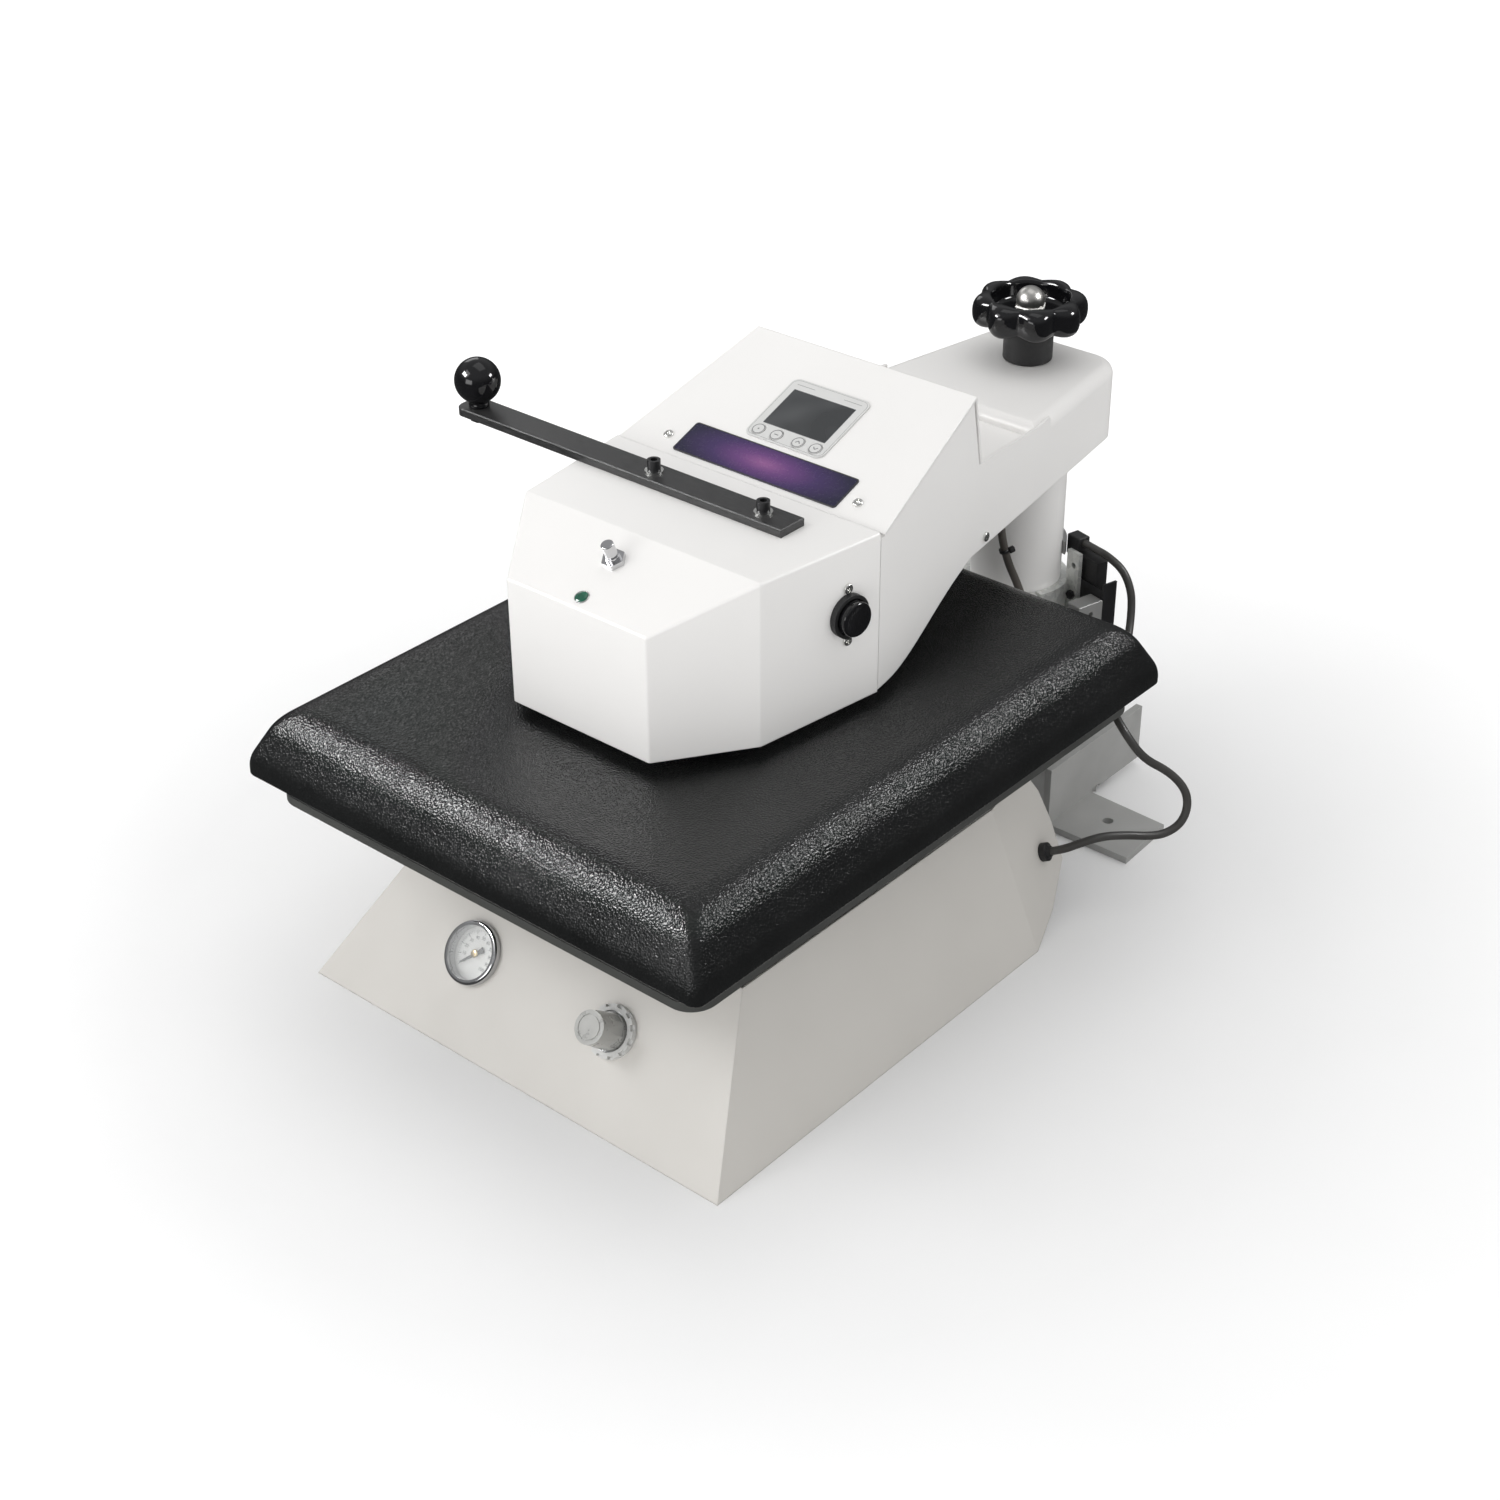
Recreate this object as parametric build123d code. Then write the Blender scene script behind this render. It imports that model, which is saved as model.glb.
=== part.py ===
from build123d import *
import math
import os

# Air-operated swing-away heat press, 16 x 20 inch platen. Millimetres, +Z up.
# The origin is on the floor under the middle of the lower table. -Y is the operator's side, and +X is
# the operator's right hand. The column stands behind the table, and the head swings about it.

# ---- driving dimensions ----
PLATEN_X = 406.4            # 16 in
PLATEN_Y = 508.0            # 20 in
PLATEN_CORNER = 20.0

BASE_HALF_X = 203.0         # base housing at the floor
BASE_FRONT_Y = -235.0
BASE_REAR_Y = 142.0         # vertical fold where the flaps start
BASE_TOP_Z = 110.0
SIDE_LEAN = 0.453           # the side walls lean in, mm per mm of height
FRONT_LEAN = 0.778          # the front wall leans back
SHEET = 2.0

PLATE_Z = 4.0               # top of the base plate
TABLE_Z = (170.0, 177.0)
PAD_Z = (177.2, 185.0)
LIFT_TRAVEL = 2.9
HEAT_Z = (188.0, 206.0)     # heat platen
LIP_Z = 191.5               # lower edge of the platen cover
COVER_TOP_Z = 244.5
COVER_HALF_X = 217.0
COVER_HALF_Y = 267.0
COVER_SHEET = 3.0
COVER_LIP = 5.0              # the upright lip below the flank
COVER_CURL = (3.2, 13.4)     # the curl from the lip to the flank, in and up
COVER_FLANK = (7.8, 15.6)    # the straight flank, in and up
COVER_CORNER = 8.0

COLUMN_Y = 383.0
COLUMN_R = 38.1             # 3 in tube
COLUMN_BORE_R = 33.0
COLUMN_Z = (142.0, 340.0)
SPIGOT_R = 32.95
COLLAR_Z = (112.0, 165.0)
COLLAR_R = 45.0
COLLAR_BORE_R = 38.4

ARM_FRONT_Y = 33.0
ARM_REAR_Y = 431.0
ARM_FRONT_HALF = 124.0
ARM_TAPER = 0.164           # the arm's half width shrinks by this per mm of Y
ARM_TOP_Z = 359.0
ARM_LOW_Z = 296.0
ARM_SHEET = 2.5
RECESS_Y = (187.0, 277.0)
RECESS_Z = 350.0

HEAD_LOW_Z = 252.8
HEAD_TOP_Z = 379.0
HEAD_FRONT_Y = -142.0
HEAD_FRONT_Z = 350.2
HEAD_FOLD_Y = -76.0
HEAD_PLAN = ((64.5, HEAD_FRONT_Y), (108.7, -77.0), (ARM_FRONT_HALF, ARM_FRONT_Y - 0.5))

HOOD_FRONT = (36.0, 376.6)  # Y and Z of the hood panel's front edge
HOOD_REAR = (170.0, 426.6)
HOOD_FOOT = (186.5, RECESS_Z + 0.5)
HOOD_NOTCH_Z = 369.2        # below this the hood's rear wall stands between the arm's sides

SPINDLE_R = 9.525           # 3/4 in screw
WHEEL_Z = (387.0, 413.5)
LOBE_AT = 36.9               # radius of the lobes' centres
LOBE_R = 9.4
LOBE_TURN = -2.0
DISH_Z = 397.0               # floor of the wheel's dish

HANDLE_Y = -5.5
HANDLE_Z = (HEAD_TOP_Z, HEAD_TOP_Z + 6.35)
HANDLE_SCREW_X = (-50.8, 50.8)
BALL = (-228.0, HANDLE_Y, 405.9)
BALL_R = 17.5

FOOT_HOLE = (147.0, 322.0)
FOOT_HOLE_R = 4.5
INLET_AT = (-60.0, 70.0)      # X and height of the air inlet
GUIDE_AT = [(x, y) for x in (-95.0, 95.0) for y in (-85.0, 85.0)]

SWITCH_TURN = -15.0         # the ear, the switch and the stop are clocked about the column
EAR_X = (34.5, 49.0)        # these X and Y are from the column's axis, before that turn
EAR_Y = (26.4, 30.4)
EAR_Z = (120.0, 193.0)
EAR_SCREW_X = 43.0
EAR_SCREW_Z = (134.0, 154.0)
BRACKET_Y = (30.5, 32.5)
BLOCK_X = (62.0, 77.0)
BLOCK_Y = (5.0, 30.4)
BLOCK_Z = (136.0, 162.0)
SWITCH_Z = (140.0, 190.0)
SWITCH_ENTRY = (40.0, 39.5, 197.0)

KEY_X = (-27.0, -10.2, 10.0, 26.0)
KEY_DOWN = -24.7            # the keys' row, below the controller's middle
KEY_R = 5.2

CORD_R = 3.3


# ---- helpers ----
def box(x, y, z):
    """A box from three (low, high) pairs."""
    size = (x[1] - x[0], y[1] - y[0], z[1] - z[0])
    middle = ((x[0] + x[1]) / 2, (y[0] + y[1]) / 2, (z[0] + z[1]) / 2)
    return Pos(*middle) * Box(*size)


def rod(radius, z, at=(0.0, 0.0)):
    """An upright cylinder from z[0] to z[1]."""
    return Pos(at[0], at[1], (z[0] + z[1]) / 2) * Cylinder(radius, z[1] - z[0])


def tube(outer, inner, z, at=(0.0, 0.0)):
    """An upright sleeve."""
    return rod(outer, z, at) - rod(inner, (z[0] - 1, z[1] + 1), at)


def prism(points, z):
    """A plan outline pulled up from z[0] to z[1]."""
    return extrude(Plane.XY.offset(z[0]) * Polygon(*points, align=None), z[1] - z[0], dir=(0, 0, 1))


def side_prism(face, half):
    """A face drawn in Y and Z, pulled out to both sides of the middle plane."""
    return extrude(Plane.YZ * face, half, both=True)


def mirror_x(shape):
    return mirror(shape, about=Plane.YZ)


def both_sides(shape):
    return Compound(children=[shape, mirror_x(shape)])


def group(shapes):
    """Separate solids kept in one node."""
    return Compound(children=list(shapes))


def on(plane, shape):
    """Places a shape drawn on the XY plane onto another plane."""
    return plane.location * shape


def rounded_slab(size_x, size_y, corner, z):
    """A flat plate with rounded plan corners, centred on the origin."""
    return extrude(Plane.XY.offset(z[0]) * RectangleRounded(size_x, size_y, corner), z[1] - z[0])


def arm_half(y):
    """Half the arm's width at a distance y."""
    return ARM_FRONT_HALF - (y - ARM_FRONT_Y) * ARM_TAPER


def arm_plan(y, grow=0.0):
    """The arm's tapered plan outline between two distances."""
    left = [(-arm_half(y[0]) - grow, y[0]), (-arm_half(y[1]) - grow, y[1])]
    return left + [(-point[0], point[1]) for point in reversed(left)]


# ---- planes of the sloping panels ----
FRONT_NORMAL = Vector(0, -1, FRONT_LEAN).normalized()
SLOPE = math.atan2(HEAD_TOP_Z - HEAD_FRONT_Z, HEAD_FOLD_Y - HEAD_FRONT_Y)
HOOD_SLOPE = math.atan2(HOOD_REAR[1] - HOOD_FRONT[1], HOOD_REAR[0] - HOOD_FRONT[0])
SIDE_TURN = math.atan2(ARM_FRONT_HALF - 108.7, 109.5)


def front_wall_plane(x, z):
    """On the base housing's leaning front wall, facing out."""
    return Plane((x, BASE_FRONT_Y + FRONT_LEAN * z, z), x_dir=(1, 0, 0), z_dir=FRONT_NORMAL)


def head_slope_plane(x, y):
    """On the head cover's sloping front top, facing up and forward."""
    z = HEAD_FRONT_Z + (y - HEAD_FRONT_Y) * math.tan(SLOPE)
    normal = (0, -math.sin(SLOPE), math.cos(SLOPE))
    return Plane((x, y, z), x_dir=(1, 0, 0), z_dir=normal)


def hood_plane(x, along):
    """On the hood panel, a distance along its slope from the front edge."""
    y = HOOD_FRONT[0] + along * math.cos(HOOD_SLOPE)
    z = HOOD_FRONT[1] + along * math.sin(HOOD_SLOPE)
    normal = (0, -math.sin(HOOD_SLOPE), math.cos(HOOD_SLOPE))
    return Plane((x, y, z), x_dir=(1, 0, 0), z_dir=normal)


def head_side_plane(y, z):
    """On the head cover's right side wall, facing out."""
    x = 108.7 + (y + 77.0) * math.tan(SIDE_TURN)
    return Plane((x, y, z), x_dir=(0, 0, 1), z_dir=(math.cos(SIDE_TURN), -math.sin(SIDE_TURN), 0))


def arm_side_plane(y, z):
    """On the arm's right side wall, facing out."""
    turn = math.atan(ARM_TAPER)
    return Plane((arm_half(y), y, z), x_dir=(0, 0, 1), z_dir=(math.cos(turn), math.sin(turn), 0))


GAUGE = front_wall_plane(-72.0, 56.0)
REGULATOR = front_wall_plane(69.0, 55.0)
TIMER = head_slope_plane(-1.0, -100.5)
LAMP = head_slope_plane(-1.4, -133.0)
START = head_side_plane(2.0, 326.6)
CONTROL = hood_plane(0.0, 73.5)


# ---- base ----
def wall_plate(points):
    """A flat sheet plate, given by its outer corners, with its thickness inward."""
    face = make_face(Polyline(*points, close=True))
    plate = extrude(face, SHEET)
    other = extrude(face, -SHEET)
    middle = Vector(0, 0, 50)
    near = (plate.center() - middle).length < (other.center() - middle).length
    return plate if near else other


def base_housing():
    top_x = BASE_HALF_X - SIDE_LEAN * BASE_TOP_Z
    top_y = BASE_FRONT_Y + FRONT_LEAN * BASE_TOP_Z
    front = wall_plate([
        (-BASE_HALF_X, BASE_FRONT_Y, 0), (BASE_HALF_X, BASE_FRONT_Y, 0),
        (top_x, top_y, BASE_TOP_Z), (-top_x, top_y, BASE_TOP_Z),
    ])
    side = wall_plate([
        (BASE_HALF_X, BASE_FRONT_Y, 0), (BASE_HALF_X, BASE_REAR_Y, 0),
        (top_x, BASE_REAR_Y, BASE_TOP_Z), (top_x, top_y, BASE_TOP_Z),
    ])
    shell = front + side + mirror_x(side)
    flap = flap_plate()
    shell = shell + flap + mirror_x(flap)
    gauge_hole = on(GAUGE, Pos(0, 0, -5) * Cylinder(22.3, 14))
    regulator_hole = on(REGULATOR, Pos(0, 0, -5) * Cylinder(15.3, 14))
    glands = both_sides(on(GLAND, Pos(0, 0, -2) * Cylinder(6.1, 14)))
    shell = shell - gauge_hole - regulator_hole - glands.children[0] - glands.children[1]
    return shell & box((-260, 260), (-300, 300), (0, BASE_TOP_Z))


def flap_corner(back, z):
    """A point of the right rear flap: a distance back from the fold, at a height."""
    return Vector(BASE_HALF_X - SIDE_LEAN * z - 0.25 * back, BASE_REAR_Y + back, z)


def flap_plate():
    """The right rear flap: its lower edge rises to the back, and its rear corners are cut."""
    points = [
        flap_corner(0, 0), flap_corner(41, 11), flap_corner(79, 31), flap_corner(80, 60),
        flap_corner(75, 87), flap_corner(62, BASE_TOP_Z), flap_corner(0, BASE_TOP_Z),
    ]
    return wall_plate([tuple(point) for point in points])


def flap_plane(back, z):
    """On the right rear flap, facing out."""
    point = flap_corner(back, z)
    normal = Vector(1, 0.25, SIDE_LEAN).normalized()
    return Plane(tuple(point), x_dir=(-0.25, 1, 0), z_dir=normal)


GLAND = flap_plane(52.0, 50.0)


def base_frame():
    """The flat base plate, with a tongue under the column."""
    plate = box((-190, 190), (-222, 135), (0, PLATE_Z))
    tongue = box((-95, 95), (134, 430), (0, PLATE_Z))
    return plate + tongue


def column_socket():
    """The fixed post: a wide foot, a seat for the collar and the spigot that the column turns on."""
    at = (0, COLUMN_Y)
    foot = rod(COLLAR_R, (PLATE_Z, COLLAR_Z[0]), at)
    seat = rod(COLLAR_BORE_R, (COLLAR_Z[0], COLUMN_Z[0] - 2), at)
    spigot = rod(SPIGOT_R, (COLUMN_Z[0] - 2, 285), at)
    return foot + seat + spigot


def bronze_bushes():
    """The four guide bushes in the deck, and the washer that the column turns on."""
    bushes = [tube(12.0, 8.06, (82, 102), at) + tube(16.0, 8.06, (102, 106), at) for at in GUIDE_AT]
    seat = (COLUMN_Z[0] - 2, COLUMN_Z[0] - 0.1)
    return group(bushes + [tube(COLUMN_R, SPIGOT_R + 0.1, seat, (0, COLUMN_Y))])


def clocked(shape):
    """Turns a shape drawn about the column's axis into its place round the column."""
    return Pos(0, COLUMN_Y, 0) * Rot(0, 0, SWITCH_TURN) * shape


def collar():
    """The split bearing ring, with an upright ear bar behind its right side."""
    ring = tube(COLLAR_R, COLLAR_BORE_R, COLLAR_Z)
    ear = box(EAR_X, EAR_Y, EAR_Z) - rod(COLLAR_BORE_R, (100, 230))
    slot = box((30, 60), (-12, -9), (COLLAR_Z[0] - 1, COLLAR_Z[1] + 1))
    body = ring + ear - slot
    for z in (*EAR_SCREW_Z, 181.0):
        body = body - Pos(EAR_SCREW_X, EAR_Y[0], z) * Rot(90, 0, 0) * Cylinder(2.6, 12)
    return clocked(body)


def hex_bolt(length, radius, flats, head):
    """A hexagon bolt along +Z, with its head's underside at z = 0 and its shank below."""
    top = extrude(RegularPolygon(flats / 2, 6, major_radius=False), head)
    return top + rod(radius, (-length, 0))


def collar_screws():
    """The two screws that hold the switch's bracket to the ear."""
    return clocked(group(
        Pos(EAR_SCREW_X, EAR_Y[0], z) * Rot(90, 0, 0) * hex_bolt(BRACKET_Y[1] - EAR_Y[0], 2.5, 7, 3.2)
        for z in EAR_SCREW_Z
    ))


def foot_bracket():
    """The right rear foot: an upright plate, a drilled floor flange and a web to the socket."""
    thick = 6.0
    upright = box((106, 112), (286, 361), (0, 58))
    rear = box((106, 112), (361, 421), (7, 58))
    flange = prism([(111, 286), (189, 286), (186, 347), (111, 350)], (0, thick))
    web = box((44, 107), (379, 386), (PLATE_Z, 58))
    clear = rod(COLLAR_R + 0.05, (-1, 100), (0, COLUMN_Y))
    tongue = box((-96, 96), (100, 431), (-1, PLATE_Z))
    relief = rod(6, (-1, 9), (113, 356))
    hole = rod(FOOT_HOLE_R, (-1, 9), FOOT_HOLE)
    return upright + rear + flange + web - clear - tongue - relief - hole


def proximity_switch():
    """The black switch box behind the bracket, with its sensing head beside the column."""
    case = box((38, 66), (BRACKET_Y[1] + 0.1, 44), SWITCH_Z)
    head = box((25, 40), (34, 45), (SWITCH_Z[1] - 6, 202))
    head = fillet(head.edges().group_by(Axis.Z)[-1], 1.5)
    body = fillet(case.edges().filter_by(Axis.Z), 1.5) + head
    return clocked(body - Pos(SWITCH_ENTRY) * Rot(0, 90, 0) * Cylinder(CORD_R, 4))


def switch_bracket():
    """The black L bracket behind the ear and the stop block."""
    front = box((37.5, BLOCK_X[1]), BRACKET_Y, (128, 170))
    side = box((BLOCK_X[1] - 2, BLOCK_X[1]), (BRACKET_Y[0], 45), (128, 175.5))
    body = front + side
    for z in EAR_SCREW_Z:
        body = body - Pos(EAR_SCREW_X, BRACKET_Y[0], z) * Rot(90, 0, 0) * Cylinder(2.6, 12)
    return clocked(body)


def stop_block():
    """The grey block with a cross hole, screwed to the bracket."""
    block = box(BLOCK_X, BLOCK_Y, BLOCK_Z)
    block = chamfer(block.edges().group_by(Axis.Z)[-1], 0.6)
    return clocked(block - Pos(BLOCK_X[1], 18, 152) * Rot(0, 90, 0) * Cylinder(2.5, 12))


def air_cylinder():
    """The lift cylinder: two square end caps and the barrel, hollow inside."""
    caps = box((-36, 36), (-36, 36), (PLATE_Z, 16)) + box((-36, 36), (-36, 36), (78, 92))
    barrel = rod(32, (16, 78))
    bore = rod(28, (14, 80))
    return caps + barrel - bore - rod(8.06, (79, 93))


def lift_deck():
    """The deck plate on its four welded legs; it carries the guide bushes."""
    deck = box((-120, 120), (-110, 110), (94, 102)) - rod(12, (90, 105))
    for at in GUIDE_AT:
        deck = deck - rod(12.0, (90, 105), at)
    for x in (-112.0, 112.0):
        for y in (-102.0, 102.0):
            deck = deck + box((x - 6, x + 6), (y - 6, y + 6), (PLATE_Z, 95))
    return deck


def air_valve():
    """The solenoid valve: a block, a coil and two push-in ports."""
    block = box((60, 96), (70, 96), (PLATE_Z, 30))
    coil = box((62, 84), (72, 94), (30, 62))
    ports = rod(5, (30, 38), (90, 77)) + rod(5, (30, 38), (90, 89))
    return block + coil + ports


def gauge_case():
    """The gauge's cup and stem behind the panel, with the bright ring rolled over its front."""
    cup = Pos(0, 0, -12.5) * Cylinder(22.0, 27) - Pos(0, 0, -2.5) * Cylinder(20.6, 9)
    stem = Pos(0, 0, -33) * Cylinder(6.5, 14)
    ring = Pos(0, 0, 3) * Cylinder(24.5, 5.6) - Pos(0, 0, 3) * Cylinder(20.6, 8)
    ring = fillet(ring.edges().group_by(Axis.Z)[-1].sort_by(SortBy.RADIUS)[-1], 2.4)
    return on(GAUGE, cup + stem + ring)


def gauge_dial():
    dial = Pos(0, 0, -4.2) * Cylinder(20.5, 0.8) - Pos(0, 0, -4.2) * Cylinder(1.3, 3)
    return on(GAUGE, dial)


def gauge_needle():
    """The needle points at zero, low on the left, and its shaft passes through the dial."""
    pointer = Polygon((-0.5, 15.5), (0.5, 15.5), (1.5, -3), (2.4, -7), (-2.4, -7), (-1.5, -3), align=None)
    needle = Rot(0, 0, 135) * Pos(0, 0, -2.6) * extrude(pointer, 0.7, dir=(0, 0, 1))
    hub = Pos(0, 0, -2.0) * Cylinder(2.2, 1.4)
    shaft = Pos(0, 0, -4.6) * Cylinder(1.2, 4.6)
    return on(GAUGE, needle + hub + shaft)


def gauge_lens():
    return on(GAUGE, Pos(0, 0, 2.4) * Cylinder(20.5, 1.6))


def regulator_body():
    """The regulator behind the panel, with the threaded neck that comes through."""
    body = Pos(0, 0, -24) * Box(40, 40, 36) - Pos(0, 0, -20) * Cylinder(5.2, 30)
    neck = Pos(0, 0, -2) * Cylinder(15.0, 8) - Pos(0, 0, -2) * Cylinder(5.2, 10)
    return on(REGULATOR, body + neck)


def regulator_ring():
    """The castellated panel nut around the knob."""
    ring = Pos(0, 0, 2.6) * Cylinder(19.8, 4.8) - Pos(0, 0, 2.6) * Cylinder(15.1, 8)
    for step in range(12):
        notch = Rot(0, 0, step * 30) * Pos(19.3, 0, 3.9) * Box(3.4, 4.6, 3.0)
        ring = ring - notch
    return on(REGULATOR, ring)


def regulator_knob():
    """The knob: a tapered grip with flats round it, a ringed cap and a stem."""
    grip = Pos(0, 0, 16.5) * Cone(14.0, 12.4, 27)
    for step in range(8):
        flat = Rot(0, 0, step * 45 + 20) * Pos(14.2, 0, 15.5) * Box(2.6, 6.4, 18)
        grip = grip - flat
    groove = Pos(0, 0, 30) * (Cylinder(9.5, 1.0) - Cylinder(8.7, 2.0))
    stem = Pos(0, 0, -6) * Cylinder(5.0, 20)
    return on(REGULATOR, grip + stem - groove)


def air_inlet():
    """The brass bulkhead port on the base plate's tongue, facing back over the feet's webs."""
    at_x, at_z = INLET_AT
    bracket = box((at_x - 22, at_x + 22), (140, 143), (PLATE_Z, at_z + 18))
    body = Pos(at_x, 148, at_z) * Rot(90, 0, 0) * Cylinder(9.0, 30)
    nut = Pos(at_x, 147, at_z) * Rot(90, 0, 0) * extrude(RegularPolygon(12, 6), 8)
    bore = Pos(at_x, 157, at_z) * Rot(90, 0, 0) * Cylinder(5.7, 14)
    return bracket + body + nut - bore


def gland():
    """A black cable gland with a tapered relief."""
    flange = Pos(0, 0, 2.5) * Cylinder(7.5, 5)
    tail = Pos(0, 0, 6.5) * Cone(5.6, 4.2, 3)
    barrel = Pos(0, 0, -4) * Cylinder(6.0, 8)
    return on(GLAND, flange + tail + barrel)


def glands():
    """The switch cable's gland on the right, and the mains lead's gland on the left."""
    right = gland() - on(GLAND, Pos(0, 0, 8) * Cylinder(CORD_R, 6))
    return group([right, mirror_x(gland())])


# ---- cables ----
def corner_radii(points):
    """One radius for each corner: 0.45 of the shorter run over the tangent of half the turn."""
    radii = []
    for before, corner, after in zip(points, points[1:], points[2:]):
        run_in = Vector(*corner) - Vector(*before)
        run_out = Vector(*after) - Vector(*corner)
        turn = math.radians(run_in.get_angle(run_out))
        radii.append(0.45 * min(run_in.length, run_out.length) / math.tan(turn / 2))
    return radii


def cable(name, points):
    """A round cable: straight runs joined by tangent arcs."""
    radii = corner_radii(points)
    path = FilletPolyline(*points, radius=radii)
    start = Plane(path @ 0, z_dir=path % 0)
    body = sweep(start * Circle(CORD_R), path=path)
    expected = math.pi * CORD_R ** 2 * path.length
    print(name, "length", round(path.length, 1), "volume ratio", round(body.volume / expected, 4))
    print(name, "radii", [round(radius, 1) for radius in radii])
    return body


def beside_column(x, y, z):
    """A world point for a point given from the column's axis, before the clocked turn."""
    return tuple(clocked(Vertex(x, y, z)).center())


SWITCH_CABLE = [
    tuple(GLAND.from_local_coords((0, 0, 5))), tuple(GLAND.from_local_coords((0, 0, 18))),
    (194, 206, 64), (205, 220, 68), (217, 236, 66), (229, 251, 62.5), (237, 262, 63), (243, 273, 69.5),
    (243, 281, 81), (238, 283, 94.5), (226, 276, 109), (215, 254, 127), (203, 246, 147), (186, 253, 157),
    (167, 275, 155), (150, 306, 145), (136, 338, 134), (123, 367, 126), (112, 389, 142),
    (106, 400, 158), (103, 402, 174), (93, 404, 189), (77, 403, 197.5),
    beside_column(SWITCH_ENTRY[0] + 14, *SWITCH_ENTRY[1:]),
    beside_column(SWITCH_ENTRY[0] - 2, *SWITCH_ENTRY[1:]),
]
HEATER_CABLE = [
    (38, 312, 336), (38, 312, 312), (32, 311, 286), (29, 313, 260), (30, 316, 234), (33, 322, 210),
    (37, 332, 187), (42, 338, 165), (51, 331, 140), (58, 306, 118), (59, 275, 98), (57, 249, 72),
    (54.5, 229, 44), (54, 222, 24), (54, 222, PLATE_Z),
]


# ---- lift table ----
def lower_table():
    return rounded_slab(PLATEN_X, PLATEN_Y, PLATEN_CORNER, TABLE_Z)


def silicone_pad():
    return rounded_slab(PLATEN_X, PLATEN_Y, PLATEN_CORNER, PAD_Z)


def guide_rods():
    return group(rod(8.0, (60, TABLE_Z[0]), at) for at in GUIDE_AT)


def piston_rod():
    """The piston, its rod and the flange that is screwed under the table."""
    return rod(27.9, (20, 30)) + rod(8.0, (29, 159)) + rod(40, (158, TABLE_Z[0]))


# ---- swinging column ----
def column():
    """The white tube, with the screw's nut welded into its top."""
    at = (0, COLUMN_Y)
    sleeve = tube(COLUMN_R, COLUMN_BORE_R, COLUMN_Z, at)
    nut = tube(COLUMN_BORE_R + 0.5, SPINDLE_R + 0.06, (325, COLUMN_Z[1]), at)
    return sleeve + nut


def switch_target():
    """A curved steel plate on the column, which the switch senses when the head is over the table."""
    z = (188, 200)
    return clocked(tube(41.5, COLUMN_R, z) & box((10, 34), (24, 42), z))


# ---- arm and head ----
def arm_beam():
    """The welded beam inside the arm, with the sleeve that slides on the column."""
    at = (0, COLUMN_Y)
    beam = box((-30, 30), (-40, 345), (300, 346))
    sleeve = rod(45.2, (298, 346), at)
    cap = box((-46, 46), (337, 421), (346, ARM_TOP_Z - ARM_SHEET))
    lug = box((30, 46), (304, 320), (336, 346))
    bore = rod(COLUMN_R + 0.08, (290, 346), at)
    return beam + sleeve + cap + lug - bore - rod(SPINDLE_R + 0.06, (340, 360), at)


def arm_profile():
    """The arm's side outline in Y and Z; its top edges lie just under the hood."""
    slope = math.tan(HOOD_SLOPE)
    top_start = (ARM_FRONT_Y, HOOD_FRONT[1] - 2.4 - 3 * slope)
    top_end = (HOOD_REAR[0] - 3, top_start[1] + (HOOD_REAR[0] - 3 - ARM_FRONT_Y) * slope)
    foot = (180.2, HOOD_NOTCH_Z - 0.3)
    top = Polyline(
        (ARM_FRONT_Y, 254.5), top_start, top_end, foot, (RECESS_Y[1], ARM_TOP_Z),
        (310, ARM_TOP_Z), (310, ARM_LOW_Z), (175, ARM_LOW_Z),
    )
    low = Bezier((175, ARM_LOW_Z), (120, 285), (85, 254.5), (45, 254.5))
    close = Line((45, 254.5), (ARM_FRONT_Y, 254.5))
    return make_face(top.edges() + low.edges() + close.edges())


def arm_rear_block(grow, z):
    """The arm's rear end in plan: tapered, with rounded rear corners."""
    outline = offset(Polygon(*arm_plan((276, ARM_REAR_Y)), align=None), grow, kind=Kind.INTERSECTION)
    outline = fillet(outline.vertices().group_by(Axis.Y)[-1], 25 + grow)
    return extrude(Plane.XY.offset(z[0]) * outline, z[1] - z[0], dir=(0, 0, 1))


def arm_housing():
    """The white arm: tapered sides, the recess behind the hood and the rounded rear box."""
    front = prism(arm_plan((ARM_FRONT_Y, 300)), (250, 440)) & side_prism(arm_profile(), 140)
    inner = prism(arm_plan((ARM_FRONT_Y - 5, 305), -ARM_SHEET), (240, 450))
    floor = prism(arm_plan((168, 296), -ARM_SHEET), (RECESS_Z - ARM_SHEET, RECESS_Z))
    rear = arm_rear_block(0, (ARM_LOW_Z, ARM_TOP_Z))
    rear = fillet(rear.edges().group_by(Axis.Z)[-1], 10)
    hollow = arm_rear_block(-ARM_SHEET, (ARM_LOW_Z - 5, ARM_TOP_Z - ARM_SHEET))
    hollow = fillet(hollow.edges().group_by(Axis.Z)[-1], 10 - ARM_SHEET)
    opening = prism(arm_plan((270, 290), -ARM_SHEET), (ARM_LOW_Z - 5, RECESS_Z - ARM_SHEET))
    shell = (front - inner) + floor + rear - hollow - opening
    shell = shell - rod(14, (340, 365), (0, COLUMN_Y))
    for plane in (ARM_SCREW, ARM_SCREW_LEFT):
        shell = shell - on(plane, Cylinder(2.0, 10))
    return shell


def bent_sheet(a, b, c, thick):
    """The outline of a sheet that runs from a over b to c, with its thickness on the right."""
    start, middle, end = Vector(*a), Vector(*b), Vector(*c)
    first = (middle - start).normalized()
    second = (end - middle).normalized()
    side = Vector(first.Y, -first.X) * thick
    other = Vector(second.Y, -second.X) * thick
    mitre = (side + other) / (1 + first.dot(second))
    corners = [start, middle, end, end + other, middle + mitre, start + side]
    return Polygon(*[(p.X, p.Y) for p in corners], align=None)


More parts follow.
